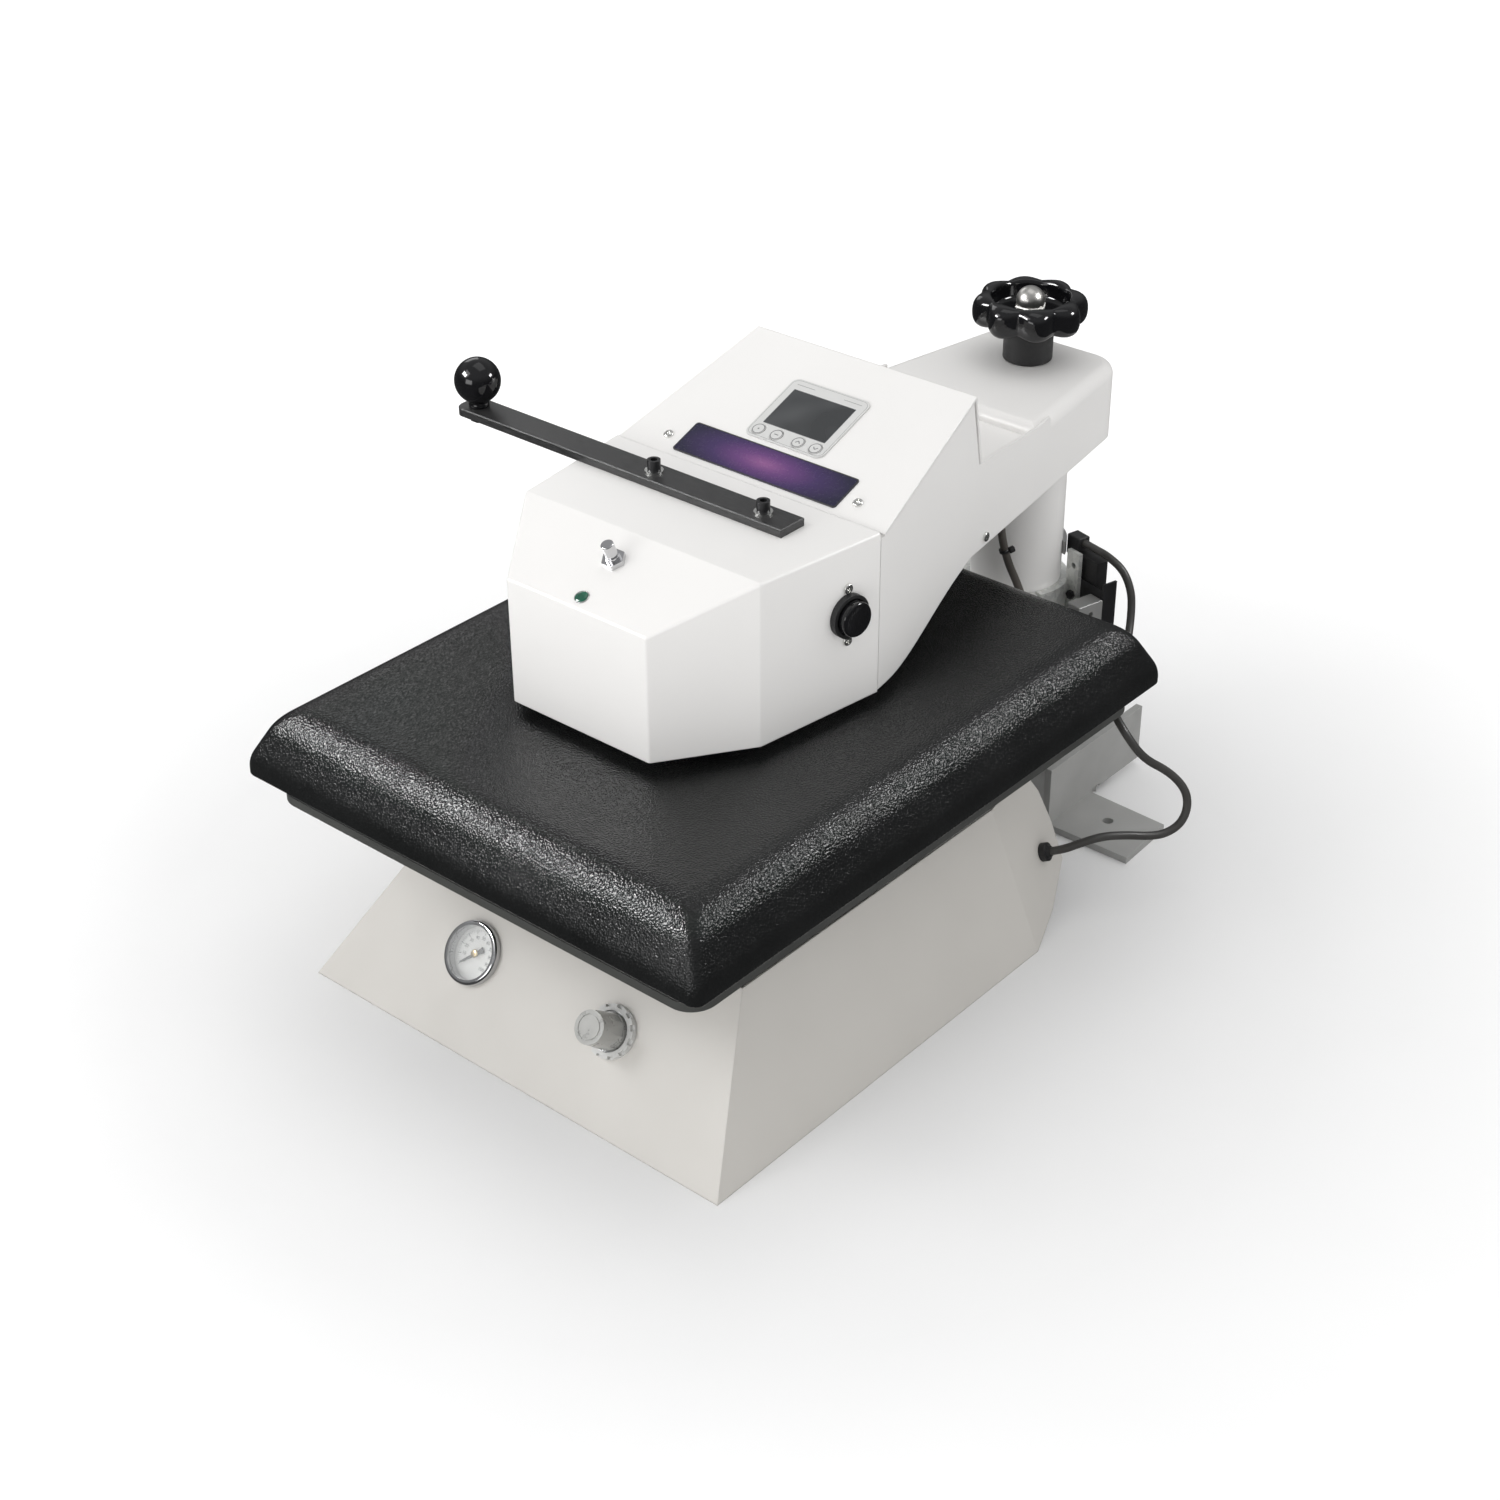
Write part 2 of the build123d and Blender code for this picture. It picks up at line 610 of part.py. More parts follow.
def control_hood():
    """The sloping instrument panel with its rear wall, cut out for the controller."""
    sheet = side_prism(bent_sheet(HOOD_FRONT, HOOD_REAR, HOOD_FOOT, SHEET), 140)
    hood = sheet & prism(arm_plan((30, 190), 0.8), (340, 440))
    between = prism(arm_plan((160, 200), -ARM_SHEET - 0.2), (330, 380))
    hood = hood - (box((-140, 140), (165, 195), (340, HOOD_NOTCH_Z)) - between)
    hood = hood - on(CONTROL, Box(62.4, 56.4, 12))
    for x in KEY_X:
        hood = hood - on(CONTROL, Pos(x, KEY_DOWN, 0) * Cylinder(KEY_R + 0.6, 12))
    for plane in HOOD_SCREWS:
        hood = hood - on(plane, Cylinder(2.0, 10))
    return hood


def head_solid(inset, back):
    """The head cover's outer form, drawn in by an inset; back moves its rear face."""
    half = [(x, y) for x, y in HEAD_PLAN[:2]] + [(HEAD_PLAN[2][0], HEAD_PLAN[2][1] + back)]
    plan = Polygon(*half, *[(-x, y) for x, y in reversed(half)], align=None)
    plan = offset(plan, -inset, kind=Kind.INTERSECTION) if inset else plan
    body = extrude(Plane.XY.offset(HEAD_LOW_Z - inset) * plan, 200, dir=(0, 0, 1))
    front = HEAD_FRONT_Y - 10
    front_z = HEAD_FRONT_Z - 10 * math.tan(SLOPE)
    top = Polygon(
        (front, HEAD_LOW_Z - 5), (front, front_z - inset), (HEAD_FOLD_Y, HEAD_TOP_Z - inset),
        (60, HEAD_TOP_Z - inset), (60, HEAD_LOW_Z - 5), align=None,
    )
    return body & side_prism(top, 140)


def head_cover():
    """The white cover over the head, open below and behind."""
    outer = head_solid(0, 0)
    rounded = outer.edges().filter_by(lambda e: e.center().Y < 30 and e.center().Z > HEAD_LOW_Z + 1)
    outer = fillet(rounded, 2.5)
    shell = outer - head_solid(SHEET, 20)
    holes = [on(TIMER, Cylinder(5.7, 20)), on(LAMP, Cylinder(4.6, 20))]
    for plane in (START, START_LEFT):
        holes.append(on(plane, Cylinder(11.1, 20)))
    for plane in START_SCREWS:
        holes.append(on(plane, Cylinder(2.0, 10)))
    for x in HANDLE_SCREW_X:
        holes.append(rod(3.1, (370, 385), (x, HANDLE_Y)))
    for hole in holes:
        shell = shell - hole
    return shell


def cover_section(half, top, low):
    """Half profile both ways: an upright lip, a curl, a steep flank, a round shoulder and a flat top."""
    curl_in, curl_up = COVER_CURL
    flank_in, flank_up = COVER_FLANK
    lip_z = top - COVER_TOP_Z + LIP_Z + COVER_LIP
    flank_at = (half - curl_in, lip_z + curl_up)
    shoulder = (flank_at[0] - flank_in, flank_at[1] + flank_up)
    angle = math.atan2(flank_up, flank_in)
    radius = (top - shoulder[1]) / (1 - math.cos(angle))
    inner = shoulder[0] - radius * math.sin(angle)
    right = [
        Line((half, low), (half, lip_z)),
        TangentArc((half, lip_z), flank_at, tangent=(0, 1)),
        Line(flank_at, shoulder),
        TangentArc(shoulder, (inner, top), tangent=(-flank_in, flank_up)),
    ]
    left = [mirror(edge, about=Plane.YZ) for edge in right]
    flat = Line((inner, top), (-inner, top))
    base = Line((half, low), (-half, low))
    return make_face([*right, *left, flat, base])


def cover_solid(inset, low):
    top = COVER_TOP_Z - inset
    across = extrude(Plane.XZ * cover_section(COVER_HALF_X - inset, top, low), 300, both=True)
    along = extrude(Plane.YZ * cover_section(COVER_HALF_Y - inset, top, low), 300, both=True)
    return across & along


def platen_cover():
    """The black moulded cover: four rolled edges that meet in mitred corners."""
    outer = cover_solid(0, LIP_Z - 1)
    plan = rounded_slab(2 * COVER_HALF_X, 2 * COVER_HALF_Y, COVER_CORNER, (LIP_Z, 260))
    shell = (outer & plan) - cover_solid(COVER_SHEET, LIP_Z - 20)
    return shell - rod(33, (230, 250))


def heat_platen():
    return rounded_slab(PLATEN_X, PLATEN_Y, PLATEN_CORNER, HEAT_Z)


def heating_element():
    """The tubular heater: one open loop lying on the platen."""
    z = HEAT_Z[1] + 4.05
    path = FilletPolyline(
        (-20, 225, z), (-155, 225, z), (-155, -205, z), (155, -205, z), (155, 225, z), (20, 225, z),
        radius=40,
    )
    return sweep(Plane(path @ 0, z_dir=path % 0) * Circle(4.0), path=path)


def insulation():
    return rounded_slab(350, 450, 25, (215, 230)) - rod(33, (210, 240))


def platen_hanger():
    """The post that joins the platen to the beam through the cover."""
    return rod(44, (HEAT_Z[1], 214)) + rod(25, (213, 300))


# ---- handle ----
def handle_bar():
    bar = box((-242, 77), (HANDLE_Y - 12.5, HANDLE_Y + 12.5), HANDLE_Z)
    bar = fillet(bar.edges().filter_by(Axis.Z).group_by(Axis.X)[0], 8)
    bar = chamfer(bar.edges().group_by(Axis.Z)[-1], 0.7)
    for x in HANDLE_SCREW_X:
        bar = bar - rod(3.1, (370, 395), (x, HANDLE_Y))
    return bar - rod(4.1, (370, 395), BALL[:2])


def ball_knob():
    neck = rod(7.5, (HANDLE_Z[1], 393), BALL[:2])
    return Pos(*BALL) * Sphere(BALL_R) + neck - rod(4.0, (380, 404), BALL[:2])


def cap_screw(x):
    """A socket-head cap screw standing on its washer."""
    top = HANDLE_Z[1] + 1.5
    screw = rod(4.9, (top, top + 8), (x, HANDLE_Y)) + rod(3.0, (366, top), (x, HANDLE_Y))
    socket = Pos(x, HANDLE_Y, top + 4.5) * extrude(RegularPolygon(2.9, 6), 5)
    return screw - socket


def handle_screws():
    """Two cap screws through the bar and the knob's bolt from below."""
    bolt = Pos(*BALL[:2], HANDLE_Z[0]) * Rot(180, 0, 0) * extrude(RegularPolygon(7.0, 6), 5)
    stud = rod(3.95, (HANDLE_Z[0] - 1, 403), BALL[:2])
    return group([cap_screw(HANDLE_SCREW_X[0]), cap_screw(HANDLE_SCREW_X[1]), bolt + stud])


def handle_washers():
    z = (HANDLE_Z[1], HANDLE_Z[1] + 1.5)
    return group(tube(6.8, 3.1, z, (x, HANDLE_Y)) for x in HANDLE_SCREW_X)


# ---- controls on the head ----
def flip(plane):
    """The same plane on the left side."""
    origin, x_dir, z_dir = plane.origin, plane.x_dir, plane.z_dir
    return Plane(
        (-origin.X, origin.Y, origin.Z), x_dir=(-x_dir.X, x_dir.Y, x_dir.Z),
        z_dir=(-z_dir.X, z_dir.Y, z_dir.Z),
    )


START_LEFT = flip(START)
START_SCREWS = [head_side_plane(2.0, z) for z in (306.3, 346.9)]
START_SCREWS = START_SCREWS + [flip(plane) for plane in START_SCREWS]
HOOD_SCREWS = [hood_plane(x, 16.8) for x in (-88.5, 88.5)]
ARM_SCREW = arm_side_plane(195.4, 303.5)
ARM_SCREW_LEFT = flip(ARM_SCREW)


def panel_screw(plane):
    """A pan-head screw with a cross recess."""
    head = Pos(0, 0, 1.1) * Cylinder(3.8, 2.2)
    head = fillet(head.edges().group_by(Axis.Z)[-1], 1.2)
    cross = Pos(0, 0, 2.0) * (Box(4.2, 0.9, 1.4) + Box(0.9, 4.2, 1.4))
    shank = Pos(0, 0, -3) * Cylinder(1.95, 6)
    return on(plane, head - cross + shank)


def panel_screws():
    planes = HOOD_SCREWS + START_SCREWS + [ARM_SCREW, ARM_SCREW_LEFT]
    return group(panel_screw(plane) for plane in planes)


def label_plate():
    plate = extrude(RectangleRounded(152, 31, 2.5), 0.8)
    return on(hood_plane(0.0, 21.0), plate)


def controller():
    """The controller: a rounded face plate, its box behind, a window pocket and four key wells."""
    face = extrude(RectangleRounded(72, 64, 6), 1.2)
    rear = Pos(0, 0, -11) * Box(62, 56, 22)
    body = face + rear - Pos(0, 2, 0.8) * Box(57, 38, 0.8)
    for x in KEY_X:
        body = body - Pos(x, KEY_DOWN, 0) * Cylinder(KEY_R + 0.3, 4)
    return on(CONTROL, body)


def display_lens():
    return on(CONTROL, Pos(0, 2, 0.8) * Box(57, 38, 0.8))


def controller_key(x):
    return on(CONTROL, Pos(x, KEY_DOWN, 0.45) * Cylinder(KEY_R, 2.5))


def timer_bushing():
    """The hexagon nut and threaded barrel of the push button."""
    nut = extrude(RegularPolygon(7.6, 6, major_radius=False), 4)
    barrel = Pos(0, 0, -4) * Cylinder(5.6, 22)
    return on(TIMER, nut + barrel - Pos(0, 0, -3) * Cylinder(4.7, 30))


def timer_button():
    plunger = Pos(0, 0, 6) * Cylinder(4.62, 23)
    plunger = fillet(plunger.edges().group_by(Axis.Z)[-1], 0.8)
    return on(TIMER, plunger)


def pilot_lamp():
    """The lamp's round lens and its body behind the panel."""
    body = Pos(0, 0, -8) * Cylinder(4.5, 20) + Pos(0, 0, 0.6) * Cylinder(5.6, 1.2)
    return on(LAMP, body)


def start_base(plane):
    """The button's black ring, with a well for the cap, and its barrel behind the wall."""
    ring = Pos(0, 0, 2.5) * Cylinder(16.2, 5) - Pos(0, 0, 3.2) * Cylinder(13.6, 4.4)
    barrel = Pos(0, 0, -8) * Cylinder(11.0, 18)
    return on(plane, ring + barrel - Pos(0, 0, -6) * Cylinder(6.2, 26))


def start_bases():
    return group([start_base(START), start_base(START_LEFT)])


def start_cap(plane):
    """The mushroom cap, hollowed on its front, with its stem."""
    cap = Pos(0, 0, 8.8) * Cylinder(13.0, 5.6)
    cap = fillet(cap.edges().group_by(Axis.Z)[-1], 2.0)
    dish = Pos(0, 0, 42.0) * Sphere(32.0)
    stem = Pos(0, 0, -4) * Cylinder(5.9, 21)
    return on(plane, cap + stem - dish)


# ---- handwheel ----
def handwheel():
    """Eight round lobes about a dished middle, on a moulded hub."""
    at = (0, COLUMN_Y)
    wheel = rod(40, WHEEL_Z, at) + rod(20, (ARM_TOP_Z + 0.4, WHEEL_Z[0] + 1), at)
    for lobe in range(8):
        angle = math.radians(lobe * 45 + LOBE_TURN)
        spot = (LOBE_AT * math.cos(angle), COLUMN_Y + LOBE_AT * math.sin(angle))
        wheel = wheel + rod(LOBE_R, WHEEL_Z, spot)
    return wheel - rod(30.5, (DISH_Z, 420), at) - rod(9.6, (350, 405), at)


def spindle():
    """The screw, with the collar that holds it under the arm's cap and the stud for the nut."""
    at = (0, COLUMN_Y)
    thread = rod(SPINDLE_R, (300, DISH_Z), at)
    return thread + rod(14, (341, 345.6), at) + rod(7, (DISH_Z - 1, DISH_Z + 8.5), at)


def wheel_nut():
    """The washer and the domed nut."""
    at = (0, COLUMN_Y)
    washer = tube(13, 7.1, (DISH_Z, DISH_Z + 2), at)
    around = box((-12, 12), (COLUMN_Y - 12, COLUMN_Y + 12), (DISH_Z + 7, DISH_Z + 25))
    dome = Pos(0, COLUMN_Y, DISH_Z + 11.2) * Sphere(11.5) & around
    flats = Pos(0, COLUMN_Y, DISH_Z + 2) * extrude(RegularPolygon(11.6, 6, major_radius=False), 6)
    return group([washer, flats + dome - rod(7.1, (DISH_Z + 1, DISH_Z + 9), at)])


NODES = {
    "base_housing": base_housing, "base_frame": base_frame, "column_socket": column_socket,
    "bearing_collar": collar, "collar_screws": collar_screws,
    "rear_feet": lambda: both_sides(foot_bracket()), "proximity_switch": proximity_switch,
    "switch_bracket": switch_bracket, "stop_block": stop_block, "air_cylinder": air_cylinder,
    "lift_deck": lift_deck, "bronze_bushes": bronze_bushes,
    "air_valve": air_valve, "gauge_case": gauge_case,
    "gauge_dial": gauge_dial, "gauge_needle": gauge_needle, "gauge_lens": gauge_lens,
    "regulator_body": regulator_body, "regulator_ring": regulator_ring,
    "regulator_knob": regulator_knob, "air_inlet": air_inlet, "cable_glands": glands,
    "switch_cable": lambda: cable("switch cable", SWITCH_CABLE),
    "heater_cable": lambda: cable("heater cable", HEATER_CABLE),
    "lower_table": lower_table, "silicone_pad": silicone_pad, "guide_rods": guide_rods,
    "piston_rod": piston_rod, "column": column, "switch_target": switch_target,
    "arm_beam": arm_beam, "arm_housing": arm_housing, "control_hood": control_hood,
    "head_cover": head_cover, "platen_cover": platen_cover, "heat_platen": heat_platen,
    "heating_element": heating_element, "insulation": insulation, "platen_hanger": platen_hanger,
    "handle_bar": handle_bar, "ball_knob": ball_knob, "handle_screws": handle_screws,
    "handle_washers": handle_washers, "panel_screws": panel_screws, "label_plate": label_plate,
    "controller": controller, "display_lens": display_lens, "timer_bushing": timer_bushing,
    "timer_button": timer_button, "pilot_lamp": pilot_lamp, "start_bases": start_bases,
    "start_cap_right": lambda: start_cap(START), "start_cap_left": lambda: start_cap(START_LEFT),
    "handwheel": handwheel, "spindle": spindle, "wheel_nut": wheel_nut,
}
for number, key_x in enumerate(KEY_X, start=1):
    NODES[f"key_{number}"] = lambda x=key_x: controller_key(x)

os.makedirs("parts", exist_ok=True)
for node, make in NODES.items():
    export_step(make(), f"parts/{node}.step")
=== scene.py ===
import math

import bpy
from mathutils import Matrix, Vector

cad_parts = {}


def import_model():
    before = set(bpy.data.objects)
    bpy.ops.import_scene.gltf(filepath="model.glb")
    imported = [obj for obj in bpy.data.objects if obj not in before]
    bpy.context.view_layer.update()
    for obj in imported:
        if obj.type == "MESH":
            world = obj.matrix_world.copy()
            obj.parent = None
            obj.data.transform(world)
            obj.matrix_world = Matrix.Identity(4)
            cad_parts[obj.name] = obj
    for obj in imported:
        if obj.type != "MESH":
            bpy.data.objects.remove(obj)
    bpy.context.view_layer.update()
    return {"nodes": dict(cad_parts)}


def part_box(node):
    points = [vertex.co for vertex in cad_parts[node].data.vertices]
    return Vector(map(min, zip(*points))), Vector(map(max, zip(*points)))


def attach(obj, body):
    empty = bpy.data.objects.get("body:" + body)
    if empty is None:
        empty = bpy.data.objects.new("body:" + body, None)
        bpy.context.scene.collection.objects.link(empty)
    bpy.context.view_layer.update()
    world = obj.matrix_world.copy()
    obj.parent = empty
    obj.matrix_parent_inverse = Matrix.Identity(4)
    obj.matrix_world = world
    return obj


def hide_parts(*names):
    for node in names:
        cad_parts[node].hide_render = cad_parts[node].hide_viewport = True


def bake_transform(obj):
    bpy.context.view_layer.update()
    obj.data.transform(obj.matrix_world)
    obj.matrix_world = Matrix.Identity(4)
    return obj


# The looks of an air-operated swing-away heat press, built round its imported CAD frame. Metres, +Z up.

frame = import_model()

# ---- driving dimensions, as in the CAD ----
MM = 0.001
COLUMN_Y = 0.383
FRONT_LEAN = 0.778          # the base's front wall leans back, metre per metre of height
HOOD_RISE = math.atan2(50.0, 134.0)
SLOPE_RISE = math.atan2(28.8, 66.0)
COVER_HALF = (0.217, 0.267)
COVER_LIP_Z = 0.1915
COVER_TOP_Z = 0.2445
COVER_LIP = 0.005           # the upright lip below the flank
COVER_CURL = (0.0032, 0.0134)
COVER_FLANK = (0.0078, 0.0156)
COVER_SHEET = 0.003
HANGER_HOLE_R = 0.033
WHEEL_LOW_Z = 0.387
WHEEL_TOP_Z = 0.4135
DISH_Z = 0.397
LOBE_TURN = -2.0            # degrees
CORD_D = 0.0066
LAMP_AT = (-0.0014, -0.133, 0.3502 + 0.009 * math.tan(SLOPE_RISE))
TIE_AT = (0.0314, 0.3185, 0.221)   # on the heater cord

SWITCH_ROUTE_MM = [
    (171.79, 195.11, 52.01), (183.34, 198.0, 57.24), (194, 206, 64), (205, 220, 68), (217, 236, 66),
    (229, 251, 62.5), (237, 262, 63), (243, 273, 69.5), (243, 281, 81), (238, 283, 94.5),
    (226, 276, 109), (215, 254, 127), (203, 246, 147), (186, 253, 157), (167, 275, 155),
    (150, 306, 145), (136, 338, 134), (123, 367, 126), (112, 389, 142), (106, 400, 158),
    (103, 402, 174), (93, 404, 189), (77, 403, 197.5), (62.38, 407.18, 197), (46.93, 411.32, 197),
]
HEATER_ROUTE_MM = [
    (38, 312, 336), (38, 312, 312), (32, 311, 286), (29, 313, 260), (30, 316, 234), (33, 322, 210),
    (37, 332, 187), (42, 338, 165), (51, 331, 140), (58, 306, 118), (59, 275, 98), (57, 249, 72),
    (54.5, 229, 44), (54, 222, 24), (54, 222, 4),
]


# ---- places on the frame ----
def middle(node):
    low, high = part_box(node)
    return (Vector(low) + Vector(high)) / 2


def plane_matrix(origin, normal):
    """A frame on a panel: local X is the world's X as far as it can be, and local Z is the normal."""
    z_axis = Vector(normal).normalized()
    x_axis = Vector((0, 1, 0)).cross(z_axis) if abs(z_axis.y) < 0.99 else Vector((1, 0, 0))
    if x_axis.x < 0:
        x_axis.negate()
    x_axis.normalize()
    y_axis = z_axis.cross(x_axis)
    matrix = Matrix((x_axis, y_axis, z_axis)).transposed().to_4x4()
    matrix.translation = origin
    return matrix


FRONT_NORMAL = Vector((0, -1, FRONT_LEAN)).normalized()
HOOD_NORMAL = Vector((0, -math.sin(HOOD_RISE), math.cos(HOOD_RISE)))
SLOPE_NORMAL = Vector((0, -math.sin(SLOPE_RISE), math.cos(SLOPE_RISE)))


# ---- mesh helpers ----
def mesh_piece(name, vertices, faces, smooth=True, matrix=None):
    mesh = bpy.data.meshes.new(name)
    if matrix is not None:
        vertices = [matrix @ Vector(vertex) for vertex in vertices]
    mesh.from_pydata([tuple(vertex) for vertex in vertices], [], faces)
    mesh.update()
    piece = bpy.data.objects.new(name, mesh)
    bpy.context.scene.collection.objects.link(piece)
    if smooth:
        mesh.shade_smooth()
    return piece


def loft(name, rings, closed=False, cap_start=False, cap_end=False, matrix=None, smooth=True):
    """Quads between rings that all have the same number of points."""
    count = len(rings[0])
    vertices = [point for ring in rings for point in ring]
    faces = []
    last = len(rings) if closed else len(rings) - 1
    for row in range(last):
        start = row * count
        following = ((row + 1) % len(rings)) * count
        for step in range(count):
            after = (step + 1) % count
            faces.append((start + step, start + after, following + after, following + step))
    if cap_start:
        faces.append(tuple(reversed(range(count))))
    if cap_end:
        faces.append(tuple(range((len(rings) - 1) * count, len(rings) * count)))
    return mesh_piece(name, vertices, faces, smooth, matrix)


def circle_ring(radius, z, steps=64, at=(0.0, 0.0)):
    turns = [2 * math.pi * step / steps for step in range(steps)]
    return [Vector((at[0] + radius * math.cos(t), at[1] + radius * math.sin(t), z)) for t in turns]


def lathe(name, profile, at=(0.0, 0.0), steps=96, matrix=None, cap_start=False, cap_end=False):
    """A turned shape from (radius, z) pairs."""
    rings = [circle_ring(radius, z, steps, at) for radius, z in profile]
    return loft(name, rings, matrix=matrix, cap_start=cap_start, cap_end=cap_end)


def arc(centre, radius, start, end, steps):
    """(radius, z) pairs on an arc, by angles in degrees."""
    angles = [math.radians(start + (end - start) * step / steps) for step in range(steps + 1)]
    return [(centre[0] + radius * math.cos(a), centre[1] + radius * math.sin(a)) for a in angles]


def rounded_ring(half_x, half_y, corner, z, per_corner=8, per_side=12):
    """A rectangle with round corners, counter-clockwise from the middle of the +X side."""
    points = []
    corners = ((half_x, half_y, 0), (-half_x, half_y, 90), (-half_x, -half_y, 180), (half_x, -half_y, 270))
    for x, y, turn in corners:
        centre = Vector((x - math.copysign(corner, x), y - math.copysign(corner, y), z))
        for step in range(per_corner + 1):
            angle = math.radians(turn + 90 * step / per_corner)
            points.append(centre + Vector((math.cos(angle), math.sin(angle), 0)) * corner)
    ring = []
    block = per_corner + 1
    for side in range(4):
        ring += points[side * block:(side + 1) * block]
        start = points[(side + 1) * block - 1]
        end = points[((side + 1) * block) % len(points)]
        ring += [start.lerp(end, step / per_side) for step in range(1, per_side)]
    return ring


def sharp_by_angle(piece, degrees=35):
    piece.data.set_sharp_from_angle(angle=math.radians(degrees))
    return piece


# ---- materials ----
def nodes_of(name):
    material = bpy.data.materials.new(name)
    material.use_nodes = True
    tree = material.node_tree
    return material, tree, tree.nodes["Principled BSDF"]


def coordinates(tree, stretch=(1, 1, 1)):
    source = tree.nodes.new("ShaderNodeTexCoord")
    mapping = tree.nodes.new("ShaderNodeMapping")
    mapping.inputs["Scale"].default_value = stretch
    tree.links.new(source.outputs["Object"], mapping.inputs["Vector"])
    return mapping.outputs["Vector"]


def noise(tree, vector, scale, detail=3.0, roughness=0.55):
    node = tree.nodes.new("ShaderNodeTexNoise")
    node.inputs["Scale"].default_value = scale
    node.inputs["Detail"].default_value = detail
    node.inputs["Roughness"].default_value = roughness
    tree.links.new(vector, node.inputs["Vector"])
    return node.outputs["Fac"]


def spread(tree, value, low, high, start=0.3, end=0.7):
    """Maps a 0 to 1 texture onto a range."""
    node = tree.nodes.new("ShaderNodeMapRange")
    node.inputs["From Min"].default_value = start
    node.inputs["From Max"].default_value = end
    node.inputs["To Min"].default_value = low
    node.inputs["To Max"].default_value = high
    tree.links.new(value, node.inputs["Value"])
    return node.outputs["Result"]


def two_tone(tree, value, first, second):
    ramp = tree.nodes.new("ShaderNodeValToRGB")
    ramp.color_ramp.elements[0].position = 0.35
    ramp.color_ramp.elements[1].position = 0.65
    ramp.color_ramp.elements[0].color = (*first, 1)
    ramp.color_ramp.elements[1].color = (*second, 1)
    tree.links.new(value, ramp.inputs["Fac"])
    return ramp.outputs["Color"]


def bump(tree, value, strength, distance, normal=None):
    node = tree.nodes.new("ShaderNodeBump")
    node.inputs["Strength"].default_value = strength
    node.inputs["Distance"].default_value = distance
    tree.links.new(value, node.inputs["Height"])
    if normal is not None:
        tree.links.new(normal, node.inputs["Normal"])
    return node.outputs["Normal"]


def soft_edge(tree, radius):
    node = tree.nodes.new("ShaderNodeBevel")
    node.samples = 8
    node.inputs["Radius"].default_value = radius
    return node.outputs["Normal"]


def surface(name, color, roughness, metallic=0.0, mottle=0.05, mottle_scale=35.0, grain=0.15,
            grain_scale=1400.0, grain_depth=0.0001, stretch=(1, 1, 1), edge=0.0, specular=0.5, coat=0.0):
    """A finish with a little colour drift, uneven gloss and a fine grain; edge softens its folds."""
    material, tree, shader = nodes_of(name)
    vector = coordinates(tree, stretch)
    drift = noise(tree, vector, mottle_scale)
    darker = [channel * (1 - mottle) for channel in color]
    lighter = [min(1.0, channel * (1 + mottle)) for channel in color]
    tree.links.new(two_tone(tree, drift, darker, lighter), shader.inputs["Base Color"])
    wear = noise(tree, vector, mottle_scale * 4)
    tree.links.new(spread(tree, wear, roughness * 0.85, roughness * 1.15), shader.inputs["Roughness"])
    normal = soft_edge(tree, edge) if edge else None
    fine = noise(tree, vector, grain_scale, 2.0)
    tree.links.new(bump(tree, fine, grain, grain_depth, normal), shader.inputs["Normal"])
    shader.inputs["Metallic"].default_value = metallic
    shader.inputs["Specular IOR Level"].default_value = specular
    shader.inputs["Coat Weight"].default_value = coat
    shader.inputs["Coat Roughness"].default_value = 0.08
    return material


def pebbled_plastic():
    """Black moulded cover: a leathery pebble that sparkles where the light grazes it."""
    material, tree, shader = nodes_of("pebbled_black")
    vector = coordinates(tree)
    cells = tree.nodes.new("ShaderNodeTexVoronoi")
    cells.feature = "SMOOTH_F1"
    cells.inputs["Scale"].default_value = 720.0
    cells.inputs["Smoothness"].default_value = 0.4
    warp = tree.nodes.new("ShaderNodeTexNoise")
    warp.inputs["Scale"].default_value = 420.0
    warp.inputs["Detail"].default_value = 2.0
    tree.links.new(vector, warp.inputs["Vector"])
    bend = tree.nodes.new("ShaderNodeVectorMath")
    bend.operation = "MULTIPLY_ADD"
    bend.inputs[1].default_value = (0.0007, 0.0007, 0.0007)
    tree.links.new(warp.outputs["Color"], bend.inputs[0])
    tree.links.new(vector, bend.inputs[2])
    tree.links.new(bend.outputs["Vector"], cells.inputs["Vector"])
    broad = noise(tree, vector, 14.0)
    tone = two_tone(tree, broad, (0.0050, 0.0055, 0.0055), (0.0078, 0.0083, 0.0083))
    tree.links.new(tone, shader.inputs["Base Color"])
    tree.links.new(spread(tree, broad, 0.21, 0.25), shader.inputs["Roughness"])
    pebble = bump(tree, cells.outputs["Distance"], 0.75, 0.0006)
    fine = noise(tree, vector, 2600.0, 1.0)
    tree.links.new(bump(tree, fine, 0.2, 0.0001, pebble), shader.inputs["Normal"])
    shader.inputs["Specular IOR Level"].default_value = 0.42
    return material


def galvanised():
    """Zinc with crystal spangles."""
    material, tree, shader = nodes_of("galvanised")
    vector = coordinates(tree)
    cells = tree.nodes.new("ShaderNodeTexVoronoi")
    cells.inputs["Scale"].default_value = 260.0
    tree.links.new(vector, cells.inputs["Vector"])
    grey = tree.nodes.new("ShaderNodeSeparateColor")
    tree.links.new(cells.outputs["Color"], grey.inputs["Color"])
    tone = two_tone(tree, grey.outputs["Red"], (0.66, 0.67, 0.65), (0.80, 0.81, 0.78))
    tree.links.new(tone, shader.inputs["Base Color"])
    tree.links.new(spread(tree, grey.outputs["Green"], 0.32, 0.5, 0.0, 1.0), shader.inputs["Roughness"])
    tree.links.new(bump(tree, noise(tree, vector, 900.0), 0.15, 0.0001), shader.inputs["Normal"])
    shader.inputs["Metallic"].default_value = 0.55
    return material


